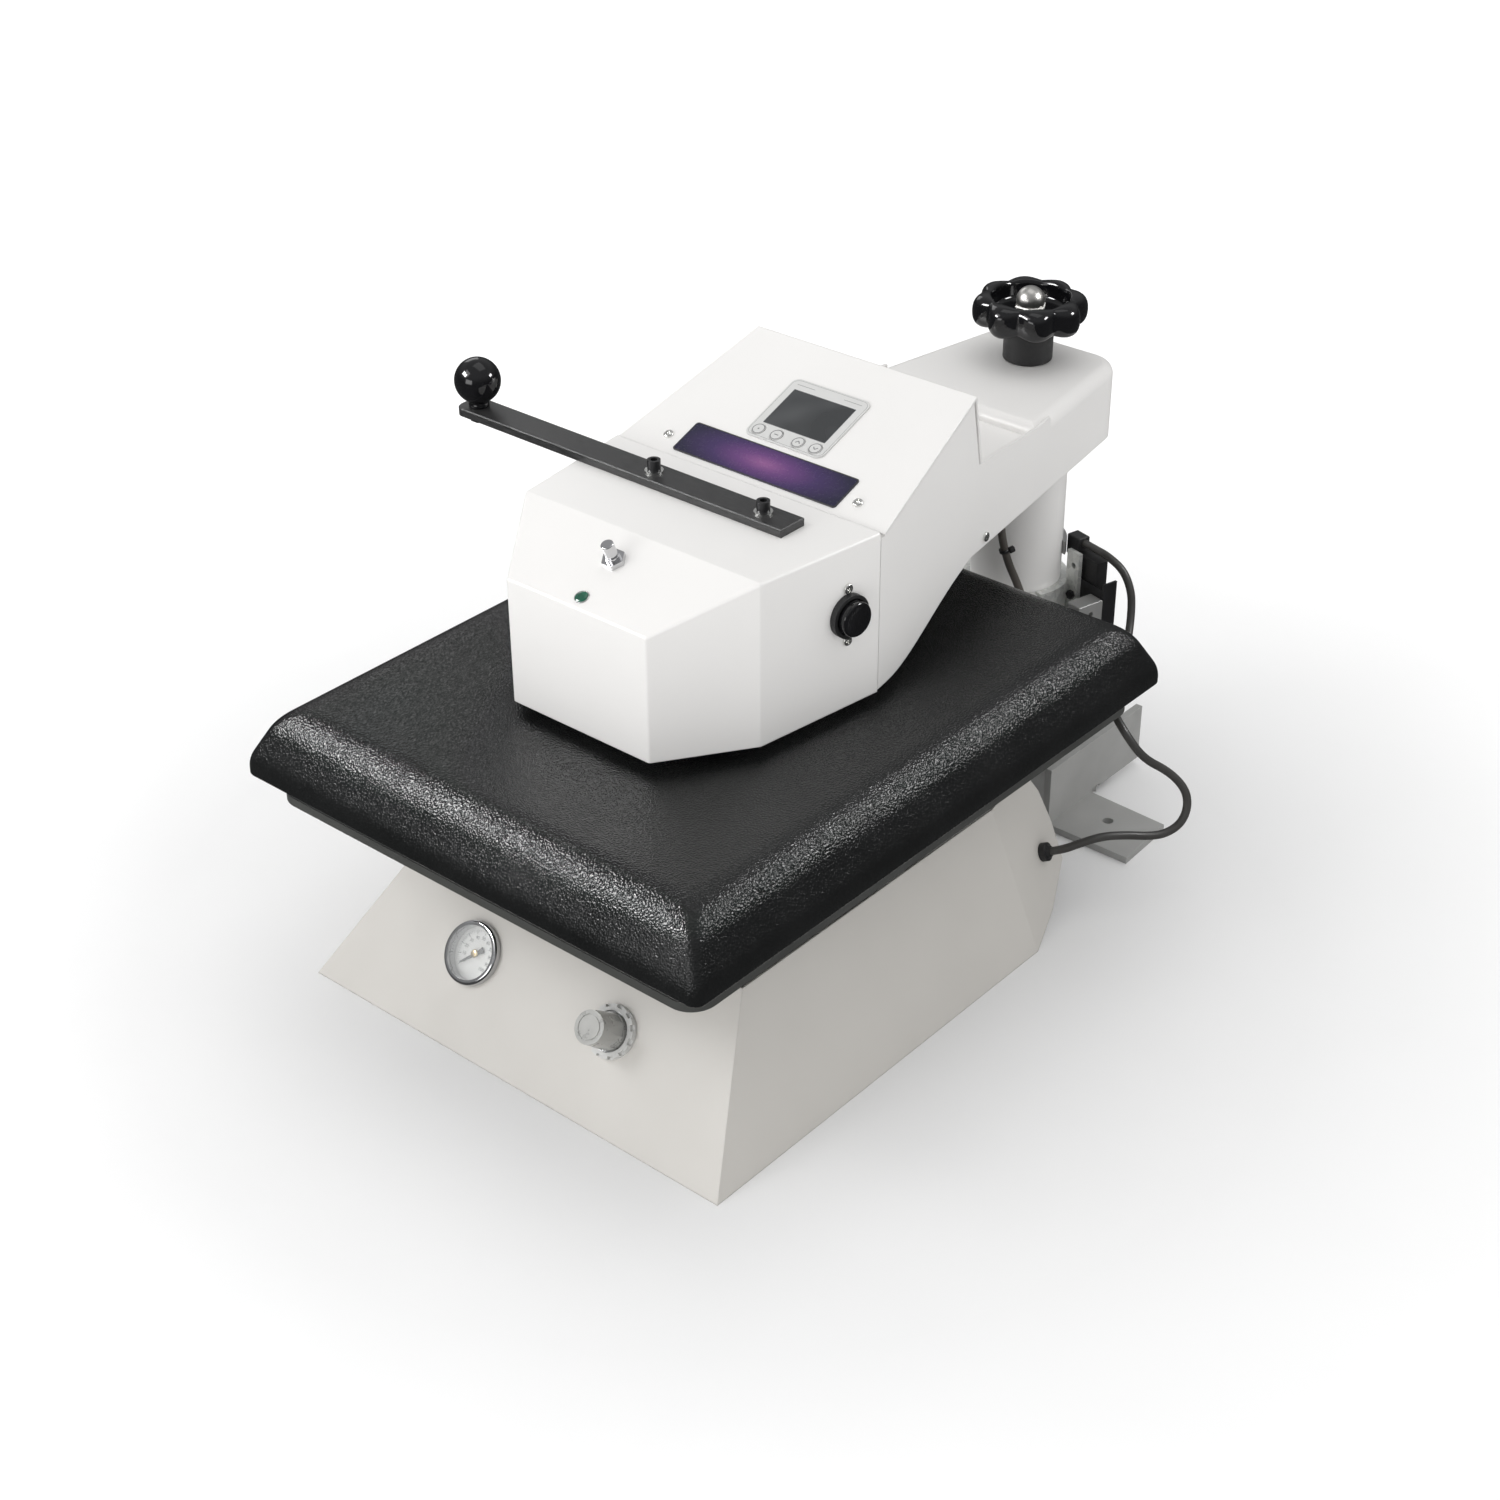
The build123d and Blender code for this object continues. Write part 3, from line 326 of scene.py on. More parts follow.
def brushed_bar():
    """Black flat bar with long scratches along its faces."""
    material, tree, shader = nodes_of("bar_black")
    vector = coordinates(tree, (0.06, 1, 1))
    lines = noise(tree, vector, 1500.0, 4.0, 0.7)
    tone = two_tone(tree, lines, (0.010, 0.010, 0.011), (0.060, 0.060, 0.060))
    tree.links.new(tone, shader.inputs["Base Color"])
    tree.links.new(spread(tree, lines, 0.32, 0.55), shader.inputs["Roughness"])
    tree.links.new(bump(tree, lines, 0.6, 0.0002, soft_edge(tree, 0.0006)), shader.inputs["Normal"])
    shader.inputs["Metallic"].default_value = 0.25
    return material


def glass(name, tint, alpha, roughness=0.04):
    material, tree, shader = nodes_of(name)
    smear = noise(tree, coordinates(tree), 60.0)
    tree.links.new(two_tone(tree, smear, [c * 0.97 for c in tint], tint), shader.inputs["Base Color"])
    tree.links.new(spread(tree, smear, roughness, roughness * 2.5), shader.inputs["Roughness"])
    shader.inputs["Alpha"].default_value = alpha
    shader.inputs["Specular IOR Level"].default_value = 0.6
    return material


def violet_film():
    """The name plate's blank film: a violet glow in its middle that falls to navy at its ends."""
    material, tree, shader = nodes_of("violet_film")
    centre = middle("label_plate")
    source = tree.nodes.new("ShaderNodeTexCoord")
    shift = tree.nodes.new("ShaderNodeMapping")
    shift.inputs["Location"].default_value = (-centre.x * 13, -centre.y * 42, 0)
    shift.inputs["Scale"].default_value = (13, 42, 0)
    tree.links.new(source.outputs["Object"], shift.inputs["Vector"])
    reach = tree.nodes.new("ShaderNodeVectorMath")
    reach.operation = "LENGTH"
    tree.links.new(shift.outputs["Vector"], reach.inputs[0])
    ramp = tree.nodes.new("ShaderNodeValToRGB")
    colours = (
        (0.0, (0.25, 0.09, 0.25)),
        (0.3, (0.12, 0.042, 0.17)),
        (0.62, (0.045, 0.022, 0.10)),
        (1.0, (0.014, 0.012, 0.04)),
    )
    while len(ramp.color_ramp.elements) < len(colours):
        ramp.color_ramp.elements.new(0.5)
    for element, (position, colour) in zip(ramp.color_ramp.elements, colours):
        element.position = position
        element.color = (*colour, 1)
    tree.links.new(reach.outputs["Value"], ramp.inputs["Fac"])
    tree.links.new(ramp.outputs["Color"], shader.inputs["Base Color"])
    fine = noise(tree, coordinates(tree), 300.0)
    tree.links.new(spread(tree, fine, 0.22, 0.3), shader.inputs["Roughness"])
    return material


def dark_display():
    """The unlit display: a grey film with a soft darker patch, under clear plastic."""
    material, tree, shader = nodes_of("dark_display")
    patch = noise(tree, coordinates(tree), 28.0, 1.0)
    tone = two_tone(tree, patch, (0.030, 0.032, 0.034), (0.060, 0.063, 0.066))
    tree.links.new(tone, shader.inputs["Base Color"])
    tree.links.new(spread(tree, patch, 0.12, 0.2), shader.inputs["Roughness"])
    shader.inputs["Coat Weight"].default_value = 0.6
    shader.inputs["Coat Roughness"].default_value = 0.05
    return material


WHITE = surface("white_paint", (0.82, 0.81, 0.795), 0.34, mottle=0.010, mottle_scale=5, grain=0.04,
                grain_scale=2200, grain_depth=0.0001, edge=0.0012)
WARM_GREY = surface("warm_grey_paint", (0.60, 0.58, 0.545), 0.42, mottle=0.02, mottle_scale=6,
                    grain=0.06, grain_scale=2200, grain_depth=0.0001, edge=0.0014)
FOOT_GREY = surface("foot_grey", (0.40, 0.40, 0.39), 0.5, metallic=0.1, mottle=0.04, mottle_scale=40,
                    grain=0.15, grain_scale=900, grain_depth=0.0002, edge=0.0008)
STEEL = surface("steel", (0.42, 0.42, 0.42), 0.34, metallic=0.9, mottle=0.08, grain=0.2,
                stretch=(1, 1, 0.08))
DARK_STEEL = surface("dark_steel", (0.028, 0.028, 0.03), 0.36, metallic=0.5, mottle=0.2, grain=0.2)
BLOCK_GREY = surface("block_grey", (0.33, 0.33, 0.325), 0.5, metallic=0.4, mottle=0.06, grain=0.25,
                     grain_scale=700, edge=0.0005)
ZINC = galvanised()
BRIGHT = surface("bright_zinc", (0.74, 0.74, 0.72), 0.22, metallic=1.0, mottle=0.06, grain=0.06)
DOME_STEEL = surface("brushed_dome", (0.50, 0.49, 0.47), 0.33, metallic=1.0, mottle=0.08, grain=0.12)
CHROME = surface("chrome", (0.60, 0.60, 0.61), 0.11, metallic=1.0, mottle=0.02, grain=0.01)
BRASS = surface("brass", (0.60, 0.46, 0.24), 0.3, metallic=1.0, mottle=0.08, grain=0.1)
BRONZE = surface("bronze", (0.42, 0.27, 0.13), 0.42, metallic=1.0, mottle=0.15, grain=0.2)
MATTE_BLACK = surface("matte_black", (0.018, 0.018, 0.019), 0.55, mottle=0.2, grain=0.35,
                      grain_scale=900, grain_depth=0.0002, edge=0.0004)
GLOSS_BLACK = surface("gloss_black", (0.006, 0.006, 0.007), 0.10, mottle=0.15, grain=0.04,
                      grain_scale=260, grain_depth=0.0004)
BAR_BLACK = brushed_bar()
PEBBLED = pebbled_plastic()
LIGHT_PLASTIC = surface("light_plastic", (0.60, 0.60, 0.585), 0.32, mottle=0.01, grain=0.03)
KNOB_SILVER = surface("knob_silver", (0.40, 0.40, 0.385), 0.30, metallic=0.35, mottle=0.01, grain=0.02)
ALLOY = surface("alloy", (0.50, 0.505, 0.51), 0.38, metallic=0.9, mottle=0.06, grain=0.25,
                stretch=(0.2, 1, 1))
TABLE_EDGE = surface("table_alloy", (0.075, 0.077, 0.073), 0.5, metallic=0.2, mottle=0.10,
                     mottle_scale=60, grain=0.3, stretch=(0.3, 0.3, 1), edge=0.0006, specular=0.25)
PAD_RUBBER = surface("pad_rubber", (0.060, 0.062, 0.060), 0.7, mottle=0.07, grain=0.4, grain_scale=700,
                     grain_depth=0.0003, specular=0.2)
PLATEN = surface("platen_alloy", (0.12, 0.12, 0.12), 0.30, metallic=0.8, mottle=0.08, grain=0.15,
                 stretch=(0.1, 1, 1))
WOOL = surface("insulation_wool", (0.66, 0.62, 0.50), 0.9, mottle=0.15, mottle_scale=120, grain=0.9,
               grain_scale=500, grain_depth=0.001)
CABLE_BLACK = surface("cable_black", (0.052, 0.050, 0.047), 0.42, mottle=0.12, grain=0.2,
                      grain_scale=600)
CABLE_BROWN = surface("cable_brown", (0.085, 0.075, 0.065), 0.5, mottle=0.15, grain=0.35,
                      grain_scale=500)
DIAL_WHITE = surface("dial_white", (0.84, 0.84, 0.82), 0.5, mottle=0.02, grain=0.05)
PRINT_BLACK = surface("print_black", (0.02, 0.02, 0.02), 0.5, mottle=0.1, grain=0.05)
PRINT_GREY = surface("print_grey", (0.13, 0.135, 0.14), 0.5, mottle=0.1, grain=0.05)
OVERLAY = surface("overlay_white", (0.62, 0.62, 0.61), 0.36, mottle=0.01, grain=0.1, edge=0.0004)
LENS = glass("gauge_glass", (0.95, 0.97, 0.97), 0.16)
DISPLAY = dark_display()
VIOLET = violet_film()
LAMP_GREEN = surface("lamp_green", (0.004, 0.085, 0.048), 0.16, mottle=0.25, mottle_scale=260,
                     grain=0.05, coat=0.6)

NODE_LOOKS = {
    "base_housing": WARM_GREY, "base_frame": FOOT_GREY, "column_socket": STEEL, "bearing_collar": ZINC,
    "collar_screws": DARK_STEEL, "rear_feet": FOOT_GREY, "proximity_switch": MATTE_BLACK,
    "switch_bracket": DARK_STEEL, "stop_block": BLOCK_GREY, "air_cylinder": ALLOY, "lift_deck": FOOT_GREY,
    "bronze_bushes": BRONZE, "air_valve": ALLOY, "gauge_case": CHROME, "gauge_dial": DIAL_WHITE,
    "gauge_lens": LENS, "gauge_needle": PRINT_BLACK, "regulator_body": ALLOY, "regulator_ring": LIGHT_PLASTIC,
    "regulator_knob": KNOB_SILVER, "air_inlet": BRASS, "cable_glands": MATTE_BLACK, "lower_table": TABLE_EDGE,
    "guide_rods": STEEL, "piston_rod": STEEL, "column": WHITE, "switch_target": STEEL, "arm_beam": DARK_STEEL,
    "arm_housing": WHITE, "control_hood": WHITE, "head_cover": WHITE, "heat_platen": PLATEN,
    "heating_element": DARK_STEEL, "insulation": WOOL, "platen_hanger": STEEL, "handle_bar": BAR_BLACK,
    "handle_screws": DARK_STEEL, "handle_washers": BRIGHT, "panel_screws": BRIGHT, "label_plate": VIOLET,
    "controller": OVERLAY, "display_lens": DISPLAY, "timer_bushing": CHROME, "timer_button": CHROME,
    "start_bases": MATTE_BLACK, "start_cap_right": GLOSS_BLACK, "start_cap_left": GLOSS_BLACK,
    "spindle": STEEL, "wheel_nut": BRIGHT, "key_1": OVERLAY, "key_2": OVERLAY, "key_3": OVERLAY,
    "key_4": OVERLAY,
}


def dress(piece, material):
    piece.data.materials.clear()
    piece.data.materials.append(material)
    return piece


def dress_frame():
    for node, material in NODE_LOOKS.items():
        dress(frame["nodes"][node], material)


# ---- the black cover ----
def cover_steps():
    """Inset and height pairs of the cover's outside, from the lip's edge to the flat top."""
    steps = [(0.0010, COVER_LIP_Z), (0.0003, COVER_LIP_Z + 0.0003), (0, COVER_LIP_Z + 0.0010)]
    lip_z = COVER_LIP_Z + COVER_LIP
    steps.append((0, lip_z))
    lean = math.atan2(COVER_FLANK[1], COVER_FLANK[0])
    curl_r = COVER_CURL[1] / math.cos(lean)
    for part in range(1, 7):
        angle = (math.pi / 2 - lean) * part / 6
        steps.append((curl_r * (1 - math.cos(angle)), lip_z + curl_r * math.sin(angle)))
    inset, z = steps[-1]
    for part in range(1, 4):
        steps.append((inset + COVER_FLANK[0] * part / 3, z + COVER_FLANK[1] * part / 3))
    inset, z = steps[-1]
    radius = (COVER_TOP_Z - z) / (1 - math.cos(lean))
    for part in range(1, 17):
        angle = lean * (1 - part / 16)
        run = radius * (math.sin(lean) - math.sin(angle))
        steps.append((inset + run, COVER_TOP_Z - radius * (1 - math.cos(angle))))
    return steps


def cover_ring(inset, z, sheet=0.0):
    corner = 0.008 + 0.10 * inset
    half_x = COVER_HALF[0] - inset - sheet
    half_y = COVER_HALF[1] - inset - sheet
    return rounded_ring(half_x, half_y, corner, z - sheet)


def platen_cover():
    """The moulded shell, lofted from its inner hole over the lip and back to the outer hole."""
    steps = cover_steps()
    inner = [cover_ring(inset, z, COVER_SHEET) for inset, z in reversed(steps[2:])]
    inner[-1] = cover_ring(0.0, COVER_LIP_Z + 0.0012 + COVER_SHEET, COVER_SHEET)
    lip = [cover_ring(0.0022, COVER_LIP_Z + 0.0003)]
    outer = [cover_ring(inset, z) for inset, z in steps]
    top = [cover_ring(inset, COVER_TOP_Z) for inset in (0.056, 0.075, 0.11)]
    count = len(outer[0])
    hole_top = []
    hole_low = []
    for point in outer[0]:
        angle = math.atan2(point.y, point.x)
        spot = Vector((HANGER_HOLE_R * math.cos(angle), HANGER_HOLE_R * math.sin(angle), COVER_TOP_Z))
        hole_top.append(spot)
        hole_low.append(spot - Vector((0, 0, COVER_SHEET)))
    rings = [hole_low] + inner + lip + outer + top + [hole_top]
    assert all(len(ring) == count for ring in rings)
    piece = loft("platen_cover_shell", rings, closed=True)
    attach(piece, "head")
    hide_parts("platen_cover")
    return dress(piece, PEBBLED)


# ---- the pad on the table ----
def pad():
    """The silicone foam pad, with soft edges."""
    low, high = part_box("silicone_pad")
    half_x, half_y, corner, edge = high[0], high[1], 0.020, 0.0018
    rings = []
    for inset, z in ((0.004, low[2]), (0.0006, low[2]), (0, low[2] + 0.0008), (0, high[2] - edge)):
        rings.append(rounded_ring(half_x - inset, half_y - inset, corner, z))
    for step in range(1, 5):
        angle = math.radians(90 * step / 4)
        inset = edge * (1 - math.cos(angle))
        z = high[2] - edge * (1 - math.sin(angle))
        rings.append(rounded_ring(half_x - inset, half_y - inset, corner, z))
    rings.append(rounded_ring(half_x - 0.012, half_y - 0.012, corner - 0.004, high[2]))
    piece = loft("pad_sheet", rings, cap_start=True, cap_end=True)
    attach(piece, "table")
    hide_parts("silicone_pad")
    return dress(piece, PAD_RUBBER)


# ---- handwheel ----
def wheel_rim():
    """The scalloped rim: eight fat lobes outside, a deep round dish inside."""
    top, bottom = WHEEL_TOP_Z, WHEEL_LOW_Z
    centre_z = (top + bottom) / 2
    tall = (top - bottom) / 2
    dish_r = 0.0308
    crest_r = dish_r + 0.0022
    steps = 320
    columns = []
    for step in range(steps):
        turn = 2 * math.pi * step / steps
        lobe = (0.5 + 0.5 * math.cos(8 * (turn - math.radians(LOBE_TURN)))) ** 0.62
        reach = 0.0392 + 0.0071 * lobe
        upper = tall * (0.90 + 0.10 * lobe)
        lower = tall * (0.74 + 0.26 * lobe)
        points = [(0.0098, DISH_Z + 0.0002), (dish_r - 0.006, DISH_Z + 0.0002)]
        points += [(dish_r - 0.002, DISH_Z + 0.0012), (dish_r - 0.0004, DISH_Z + 0.004)]
        points.append((dish_r, centre_z + upper * 0.72))
        points.append((dish_r + 0.0007, centre_z + upper * 0.93))
        for part in range(15):
            angle = math.radians(90 - 180 * part / 14)
            height = (upper if angle > 0 else lower) * math.copysign(abs(math.sin(angle)) ** 0.85, angle)
            out = max(0.0, math.cos(angle)) ** 0.7 if part != 14 else 0.0
            points.append((crest_r + (reach - crest_r) * out, centre_z + height))
        points += [(0.027, bottom + 0.0035), (0.0203, bottom + 0.0035), (0.0098, bottom + 0.0035)]
        columns.append([(r * math.cos(turn), COLUMN_Y + r * math.sin(turn), z) for r, z in points])
    rings = [[column[row] for column in columns] for row in range(len(columns[0]))]
    piece = sharp_by_angle(loft("wheel_rim", rings), 50)
    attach(piece, "wheel")
    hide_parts("handwheel")
    return dress(piece, GLOSS_BLACK)


def wheel_hub():
    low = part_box("handwheel")[0][2]
    high = WHEEL_LOW_Z + 0.0038
    profile = [(0.0098, low), (0.0190, low), (0.0197, low + 0.0005), (0.0200, low + 0.0016)]
    profile += [(0.0200, high - 0.0016), (0.0206, high - 0.0005), (0.0225, high)]
    piece = lathe("wheel_hub", profile, at=(0, COLUMN_Y))
    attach(piece, "wheel")
    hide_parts("handwheel")
    return dress(piece, MATTE_BLACK)


def dome_nut():
    """The polished dome on its hexagon, over a plain washer."""
    at = (0, COLUMN_Y)
    base = DISH_Z + 0.002
    dome = arc((0, DISH_Z + 0.0112), 0.0115, -12, 89.5, 26)
    piece = lathe("dome_nut_cap", [(0.0108, base + 0.0058)] + dome, at=at, cap_end=True)
    hexagon = []
    for radius, up in ((0.0124, 0), (0.0134, 0.0005), (0.0134, 0.0050), (0.0124, 0.0061), (0.0106, 0.0064)):
        hexagon.append(circle_ring(radius, base + up, 6, at))
    flats = loft("dome_nut_hexagon", hexagon, cap_start=True, cap_end=True, smooth=False)
    washer_profile = [(0.0071, DISH_Z), (0.0126, DISH_Z), (0.0130, DISH_Z + 0.0004)]
    washer_profile += [(0.0130, DISH_Z + 0.0016), (0.0126, base), (0.0071, base)]
    washer = lathe("wheel_washer", washer_profile, at=at)
    for part in (piece, flats, washer):
        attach(part, "wheel")
        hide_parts("wheel_nut")
        dress(part, DOME_STEEL)


# ---- handle knob ----
def ball():
    """The glossy ball, with a short collar where it meets the bar."""
    low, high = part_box("ball_knob")
    at = ((low[0] + high[0]) / 2, (low[1] + high[1]) / 2)
    centre_z = high[2] - 0.0175
    profile = [(0.0042, low[2]), (0.0073, low[2]), (0.0078, low[2] + 0.0006)]
    profile += [(0.0078, low[2] + 0.0028), (0.0072, low[2] + 0.0036)]
    profile += arc((0, centre_z), 0.0175, -64, 89.6, 40)
    piece = lathe("handle_ball", profile, at=at, cap_end=True)
    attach(piece, "head")
    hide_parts("ball_knob")
    return dress(piece, GLOSS_BLACK)


# ---- gauge ----
def gauge_place(up):
    """The dial's frame, lifted along its normal from the dial's middle."""
    return plane_matrix(middle("gauge_dial") + FRONT_NORMAL * (0.0004 + up), FRONT_NORMAL)


def dial_angle(value):
    """0 is low on the left, and 100 is 270 degrees further round, clockwise."""
    return math.radians(225 - 2.7 * value)


def bar_points(start, end, width):
    """The four corners of a flat bar between two points of a panel."""
    along = (end - start).normalized()
    side = Vector((-along.y, along.x)) * width / 2
    return [start - side, end - side, end + side, start + side]


def flat_bars(name, bars, matrix, thick=0.00003):
    """Printed strokes as one thin mesh."""
    vertices = []
    faces = []
    for start, end, width in bars:
        base = len(vertices)
        corners = bar_points(Vector(start), Vector(end), width)
        vertices += [Vector((p.x, p.y, 0)) for p in corners] + [Vector((p.x, p.y, thick)) for p in corners]
        faces.append((base + 4, base + 5, base + 6, base + 7))
        for step in range(4):
            after = (step + 1) % 4
            faces.append((base + step, base + after, base + after + 4, base + step + 4))
    return mesh_piece(name, vertices, faces, smooth=False, matrix=matrix)


def flat_ring(name, inner, outer, matrix, thick=0.00003):
    """A printed outline between two plan rings."""
    rings = []
    for ring, z in ((inner, 0), (inner, thick), (outer, thick), (outer, 0)):
        rings.append([Vector((p.x, p.y, z)) for p in ring])
    return loft(name, rings, matrix=matrix, smooth=False)


def gauge_marks():
    ticks = []
    for value in range(0, 101, 2):
        angle = dial_angle(value)
        length = 0.0032 if value % 10 == 0 else 0.0017
        outward = Vector((math.cos(angle), math.sin(angle)))
        width = 0.00042 if value % 10 == 0 else 0.0002
        ticks.append((outward * (0.0182 - length), outward * 0.0182, width))
    piece = flat_bars("gauge_ticks", ticks, gauge_place(0.00002))
    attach(piece, "base")
    dress(piece, PRINT_BLACK)
    for value in range(0, 101, 10):
        angle = dial_angle(value)
        text = bpy.data.curves.new(f"gauge_number_{value}", "FONT")
        text.body = str(value)
        text.size = 0.0037
        text.extrude = 0.00001
        text.align_x = "CENTER"
        text.align_y = "CENTER"
        number = bpy.data.objects.new(f"gauge_number_{value}", text)
        bpy.context.scene.collection.objects.link(number)
        spot = Vector((math.cos(angle) * 0.0123, math.sin(angle) * 0.0123, 0))
        number.matrix_world = gauge_place(0.00003) @ Matrix.Translation(spot)
        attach(number, "base")
        dress(number, PRINT_BLACK)


def gauge_hub():
    """The brass boss over the needle's shaft."""
    profile = [(0.0031, 0), (0.0031, 0.0006), (0.0026, 0.0010), (0.0012, 0.0012), (0.0001, 0.00125)]
    place = gauge_place(0.0036 - 0.0004)
    piece = lathe("gauge_hub", profile, steps=48, matrix=place, cap_end=True)
    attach(piece, "needle")
    return dress(piece, BRASS)


# ---- controller print ----
def control_place(x=0.0, y=0.0, up=0.0):
    """The controller's face, from its own middle; the window's middle lies 2 mm above that."""
    window = middle("display_lens")
    matrix = plane_matrix(window, HOOD_NORMAL)
    return matrix @ Matrix.Translation((x, y - 0.002, up + 0.0004))


def controller_print():
    inner = rounded_ring(0.0346, 0.0306, 0.0052, 0)
    outer = rounded_ring(0.0348, 0.0308, 0.0054, 0)
    outline = flat_ring("controller_outline", inner, outer, control_place(up=0.00001))
    bars = [((-0.030, 0.0265), (-0.0135, 0.0265), 0.00035), ((0.0135, 0.0265), (0.030, 0.0265), 0.00035)]
    lines = flat_bars("controller_lines", bars, control_place(up=0.00001))
    inner = rounded_ring(0.0285, 0.019, 0.0004, 0)
    outer = rounded_ring(0.0289, 0.0194, 0.0006, 0)
    border = flat_ring("window_border", inner, outer, control_place(y=0.002, up=0.00001))
    for piece in (outline, lines, border):
        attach(piece, "head")
        dress(piece, PRINT_GREY)


def key_print():
    """A grey ring and a plain sign on each key: a dot, a bar, an arrow up and an arrow down."""
    signs = (
        [((-0.0006, 0), (0.0006, 0), 0.0012)],
        [((-0.0018, 0), (0.0018, 0), 0.0007)],
        [((-0.0020, -0.0009), (0, 0.0012), 0.0007), ((0, 0.0012), (0.0020, -0.0009), 0.0007)],
        [((-0.0020, 0.0009), (0, -0.0012), 0.0007), ((0, -0.0012), (0.0020, 0.0009), 0.0007)],
    )
    for number, (body, sign) in enumerate(zip("abcd", signs), start=1):
        key = f"key_{number}"
        low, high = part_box(key)
        place = plane_matrix(middle(key) + HOOD_NORMAL * 0.00126, HOOD_NORMAL)
        ring = flat_ring(f"{key}_ring", circle_ring(0.0043, 0, 48), circle_ring(0.0049, 0, 48), place)
        stroke = flat_bars(f"{key}_sign", sign, place)
        for piece in (ring, stroke):
            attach(piece, f"key_{body}")
            dress(piece, PRINT_GREY)


def label_border():
    """A thin black edge round the violet plate."""
    place = plane_matrix(middle("label_plate") + HOOD_NORMAL * 0.00041, HOOD_NORMAL)
    inner = rounded_ring(0.0750, 0.0145, 0.0018, 0)
    outer = rounded_ring(0.0760, 0.0155, 0.0025, 0)
    piece = flat_ring("label_border", inner, outer, place)
    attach(piece, "head")
    return dress(piece, PRINT_BLACK)


# ---- lamp ----
def lamp():
    """A low green dome in a thin grey ring."""
    place = plane_matrix(LAMP_AT, SLOPE_NORMAL)
    rise = [math.radians(10 * step) for step in range(9)]
    dome = [(0.0049, 0.0)] + [(0.0049 * math.cos(a), 0.0006 + 0.0012 * math.sin(a)) for a in rise]
    lens = lathe("lamp_lens", dome + [(0.0001, 0.0018)], steps=64, matrix=place, cap_end=True)
    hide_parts("pilot_lamp")
    dress(lens, LAMP_GREEN)
    rim = [(0.0049, 0.0), (0.0049, 0.0007), (0.0052, 0.0009), (0.0055, 0.0006), (0.0055, 0.0)]
    ring = lathe("lamp_ring", rim, steps=64, matrix=place)
    dress(ring, STEEL)
    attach(lens, "head")
    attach(ring, "head")


# ---- cords ----
def cord_curve(name, route_mm, bevel=CORD_D / 2):
    curve = bpy.data.curves.new(name, "CURVE")
    curve.dimensions = "3D"
    curve.bevel_depth = bevel
    curve.bevel_resolution = 6
    curve.resolution_u = 12
    curve.use_fill_caps = True
    spline = curve.splines.new("NURBS")
    spline.points.add(len(route_mm) - 1)
    for point, place in zip(spline.points, route_mm):
        point.co = (*(value * MM for value in place), 1)
    spline.order_u = 3
    spline.use_endpoint_u = True
    piece = bpy.data.objects.new(name, curve)
    bpy.context.scene.collection.objects.link(piece)
    return piece


def as_mesh(curve_object):
    """Turns a curve object into a mesh object of the same name, and returns it."""
    name = curve_object.name
    bpy.context.view_layer.update()
    mesh = bpy.data.meshes.new_from_object(curve_object)
    bpy.data.objects.remove(curve_object)
    mesh.shade_smooth()
    piece = bpy.data.objects.new(name, mesh)
    bpy.context.scene.collection.objects.link(piece)
    return piece


def centreline(route_mm):
    """The points that a route's smooth line passes through."""
    line = as_mesh(cord_curve("centreline", route_mm, bevel=0.0))
    points = [tuple(vertex.co) for vertex in line.data.vertices]
    bpy.data.objects.remove(line)
    return points


def switch_cord():
    piece = dress(cord_curve("switch_cord", SWITCH_ROUTE_MM), CABLE_BLACK)
    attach(piece, "base")
    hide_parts("switch_cable")


def cable_tie():
    """A black tie round the heater cord: a thin band and the square head at its right."""
    along = Vector((3, 6, -24)).normalized()
    matrix = along.to_track_quat("Z", "X").to_matrix().to_4x4()
    matrix.translation = TIE_AT
    profile = [(0.0030, -0.0014), (0.0041, -0.0014), (0.0041, 0.0014), (0.0030, 0.0014)]
    band = lathe("cable_tie", profile, steps=32, matrix=matrix)
    head_at = matrix.inverted() @ (matrix.translation + Vector((0.0048, 0.0036, 0.0010)))
    rings = []
    for inset, z in ((0.0004, -0.0022), (0, -0.0018), (0, 0.0018), (0.0004, 0.0022)):
        ring = rounded_ring(0.0025 - inset, 0.0020 - inset, 0.0005, z, 2, 2)
        rings.append([head_at + point for point in ring])
    head = loft("cable_tie_head", rings, cap_start=True, cap_end=True, matrix=matrix)
    for piece in (band, head):
        dress(piece, MATTE_BLACK)
    return [band, head]


def heater_cord():
    """Hangs from the head to the base, between the still base and the turning column; its mesh is baked in
    place and joined to neither.
    """
    path = centreline(HEATER_ROUTE_MM)
    piece = dress(as_mesh(cord_curve("heater_cord", HEATER_ROUTE_MM)), CABLE_BROWN)
    ties = cable_tie()
    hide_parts("heater_cable")
    for part in [piece] + ties:
        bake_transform(part)


# ---- camera, light and floor ----
def camera():
    azimuth = math.radians(-40.7)
    elevation = math.radians(31.936)
    roll = math.radians(0.3676)
    forward = Vector((math.sin(azimuth) * math.cos(elevation), math.cos(azimuth) * math.cos(elevation),
                      -math.sin(elevation)))
    level = Vector((math.cos(azimuth), -math.sin(azimuth), 0))
    down = forward.cross(level)
    right = level * math.cos(roll) + down * math.sin(roll)
    upward = level * math.sin(roll) - down * math.cos(roll)
    data = bpy.data.cameras.new("camera")
    data.sensor_width = 36.0
    data.lens = 60.26
    data.clip_start = 0.01
    item = bpy.data.objects.new("camera", data)
    bpy.context.scene.collection.objects.link(item)
    matrix = Matrix((right, upward, -forward)).transposed().to_4x4()
    matrix.translation = (1.0550, -1.1886, 1.1603)
    item.matrix_world = matrix
    bpy.context.scene.camera = item


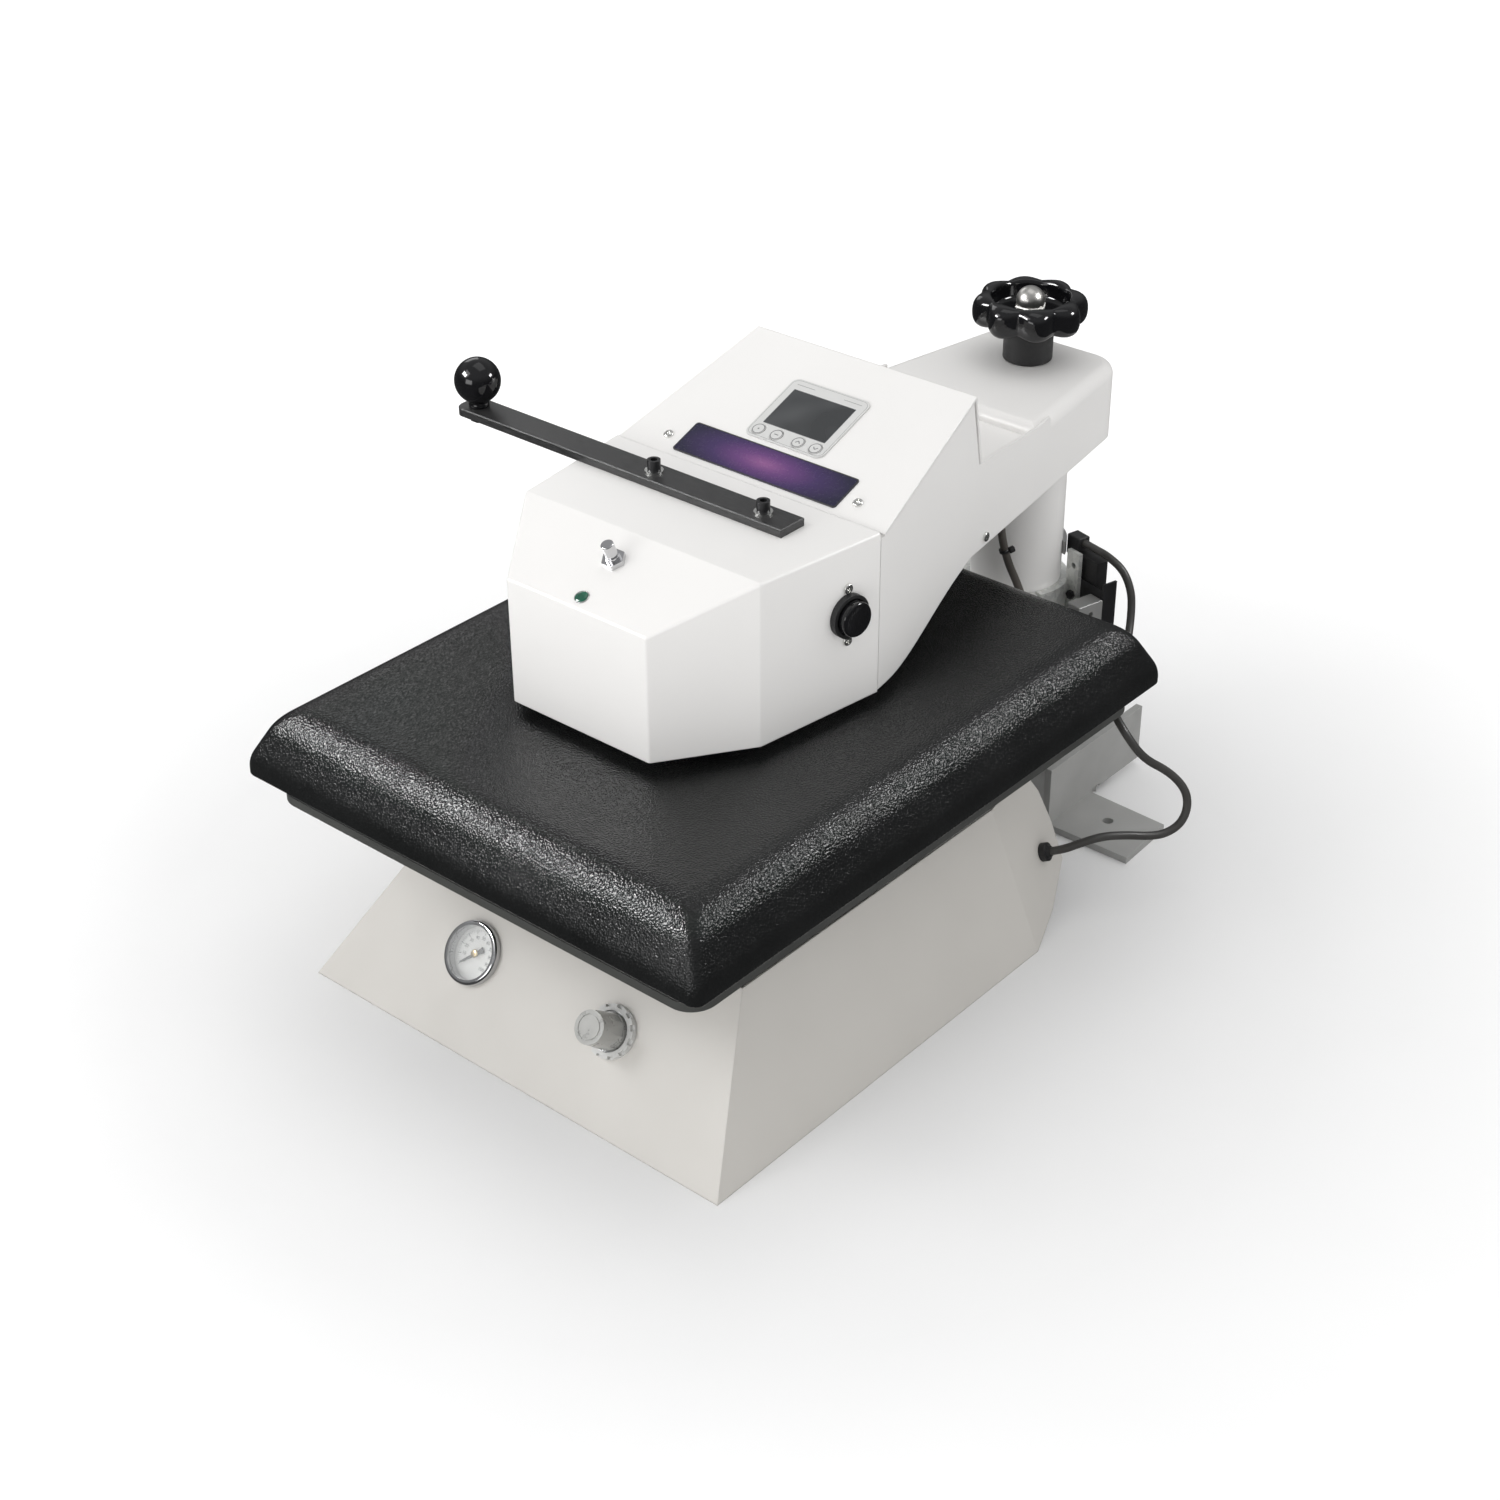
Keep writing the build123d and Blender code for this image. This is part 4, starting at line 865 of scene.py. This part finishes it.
def softbox(name, place, size, watts, gloss_only=False):
    """A rectangular light aimed at the object; a gloss-only one shows just in reflections."""
    data = bpy.data.lights.new(name, "AREA")
    data.shape = "RECTANGLE"
    data.size, data.size_y = size
    data.energy = watts
    item = bpy.data.objects.new(name, data)
    bpy.context.scene.collection.objects.link(item)
    item.location = place
    item.rotation_euler = (Vector((0, 0, 0.2)) - Vector(place)).to_track_quat("-Z", "Y").to_euler()
    item.visible_diffuse = not gloss_only
    item.visible_camera = not gloss_only


def world():
    """A white room, dark round the horizon in reflections and lighter overhead, to keep gloss crisp."""
    scene_world = bpy.data.worlds.new("studio")
    scene_world.use_nodes = True
    tree = scene_world.node_tree
    source = tree.nodes.new("ShaderNodeTexCoord")
    split = tree.nodes.new("ShaderNodeSeparateXYZ")
    tree.links.new(source.outputs["Generated"], split.inputs["Vector"])
    glow = tree.nodes.new("ShaderNodeValToRGB")
    for element, (position, grey) in zip(glow.color_ramp.elements, ((0.10, 0.09), (0.55, 0.46))):
        element.position = position
        element.color = (grey, grey * 1.01, grey * 1.02, 1)
    tree.links.new(split.outputs["Z"], glow.inputs["Fac"])
    path = tree.nodes.new("ShaderNodeLightPath")
    mix = tree.nodes.new("ShaderNodeMix")
    mix.data_type = "RGBA"
    mix.inputs["A"].default_value = (1.0, 1.0, 1.0, 1)
    tree.links.new(glow.outputs["Color"], mix.inputs["B"])
    tree.links.new(path.outputs["Is Glossy Ray"], mix.inputs["Factor"])
    tree.links.new(mix.outputs["Result"], tree.nodes["Background"].inputs["Color"])
    tree.nodes["Background"].inputs["Strength"].default_value = 0.86
    bpy.context.scene.world = scene_world


def studio():
    world()
    softbox("key", (-1.0, -1.55, 1.9), (1.2, 0.8), 8)
    softbox("overhead", (0.0, 0.4, 2.6), (1.8, 1.4), 6)
    softbox("front", (-0.1, -2.4, 0.8), (1.4, 0.8), 13)
    softbox("front gloss", (-0.89, -0.95, 1.12), (0.6, 0.3), 27, gloss_only=True)
    softbox("side gloss", (0.75, 0.71, 0.92), (0.3, 0.2), 7, gloss_only=True)
    softbox("left gloss", (-1.64, 0.9, 1.21), (0.9, 0.7), 3, gloss_only=True)
    bpy.context.scene.view_settings.view_transform = "Standard"


def floor():
    """White paper that keeps the soft shadow near the object; painted light: an emission glow, growing with
    distance from the object, runs it out to pure white.
    """
    material, tree, shader = nodes_of("floor_paper")
    vector = coordinates(tree)
    tone = two_tone(tree, noise(tree, vector, 3.0), (0.90, 0.90, 0.90), (0.92, 0.92, 0.92))
    tree.links.new(tone, shader.inputs["Base Color"])
    reach = tree.nodes.new("ShaderNodeVectorMath")
    reach.operation = "LENGTH"
    tree.links.new(vector, reach.inputs[0])
    # painted light: the floor's emission rises from 0 near the object to 0.3 from 1.1 m out, brightening the
    # paper away from it
    glow = spread(tree, reach.outputs["Value"], 0.0, 0.3, 0.45, 1.1)
    tree.links.new(glow, shader.inputs["Emission Strength"])
    shader.inputs["Emission Color"].default_value = (1, 1, 1, 1)
    shader.inputs["Roughness"].default_value = 0.9
    shader.inputs["Specular IOR Level"].default_value = 0.1
    size = 8.0
    corners = [(-size, -size, 0), (size, -size, 0), (size, size, 0), (-size, size, 0)]
    piece = mesh_piece("floor", corners, [(0, 1, 2, 3)], smooth=False)
    piece.visible_glossy = False    # gloss shows the dim room instead
    dress(piece, material)


dress_frame()
platen_cover()
pad()
wheel_rim()
wheel_hub()
dome_nut()
ball()
gauge_marks()
gauge_hub()
controller_print()
key_print()
label_border()
lamp()
switch_cord()
heater_cord()
camera()
studio()
floor()
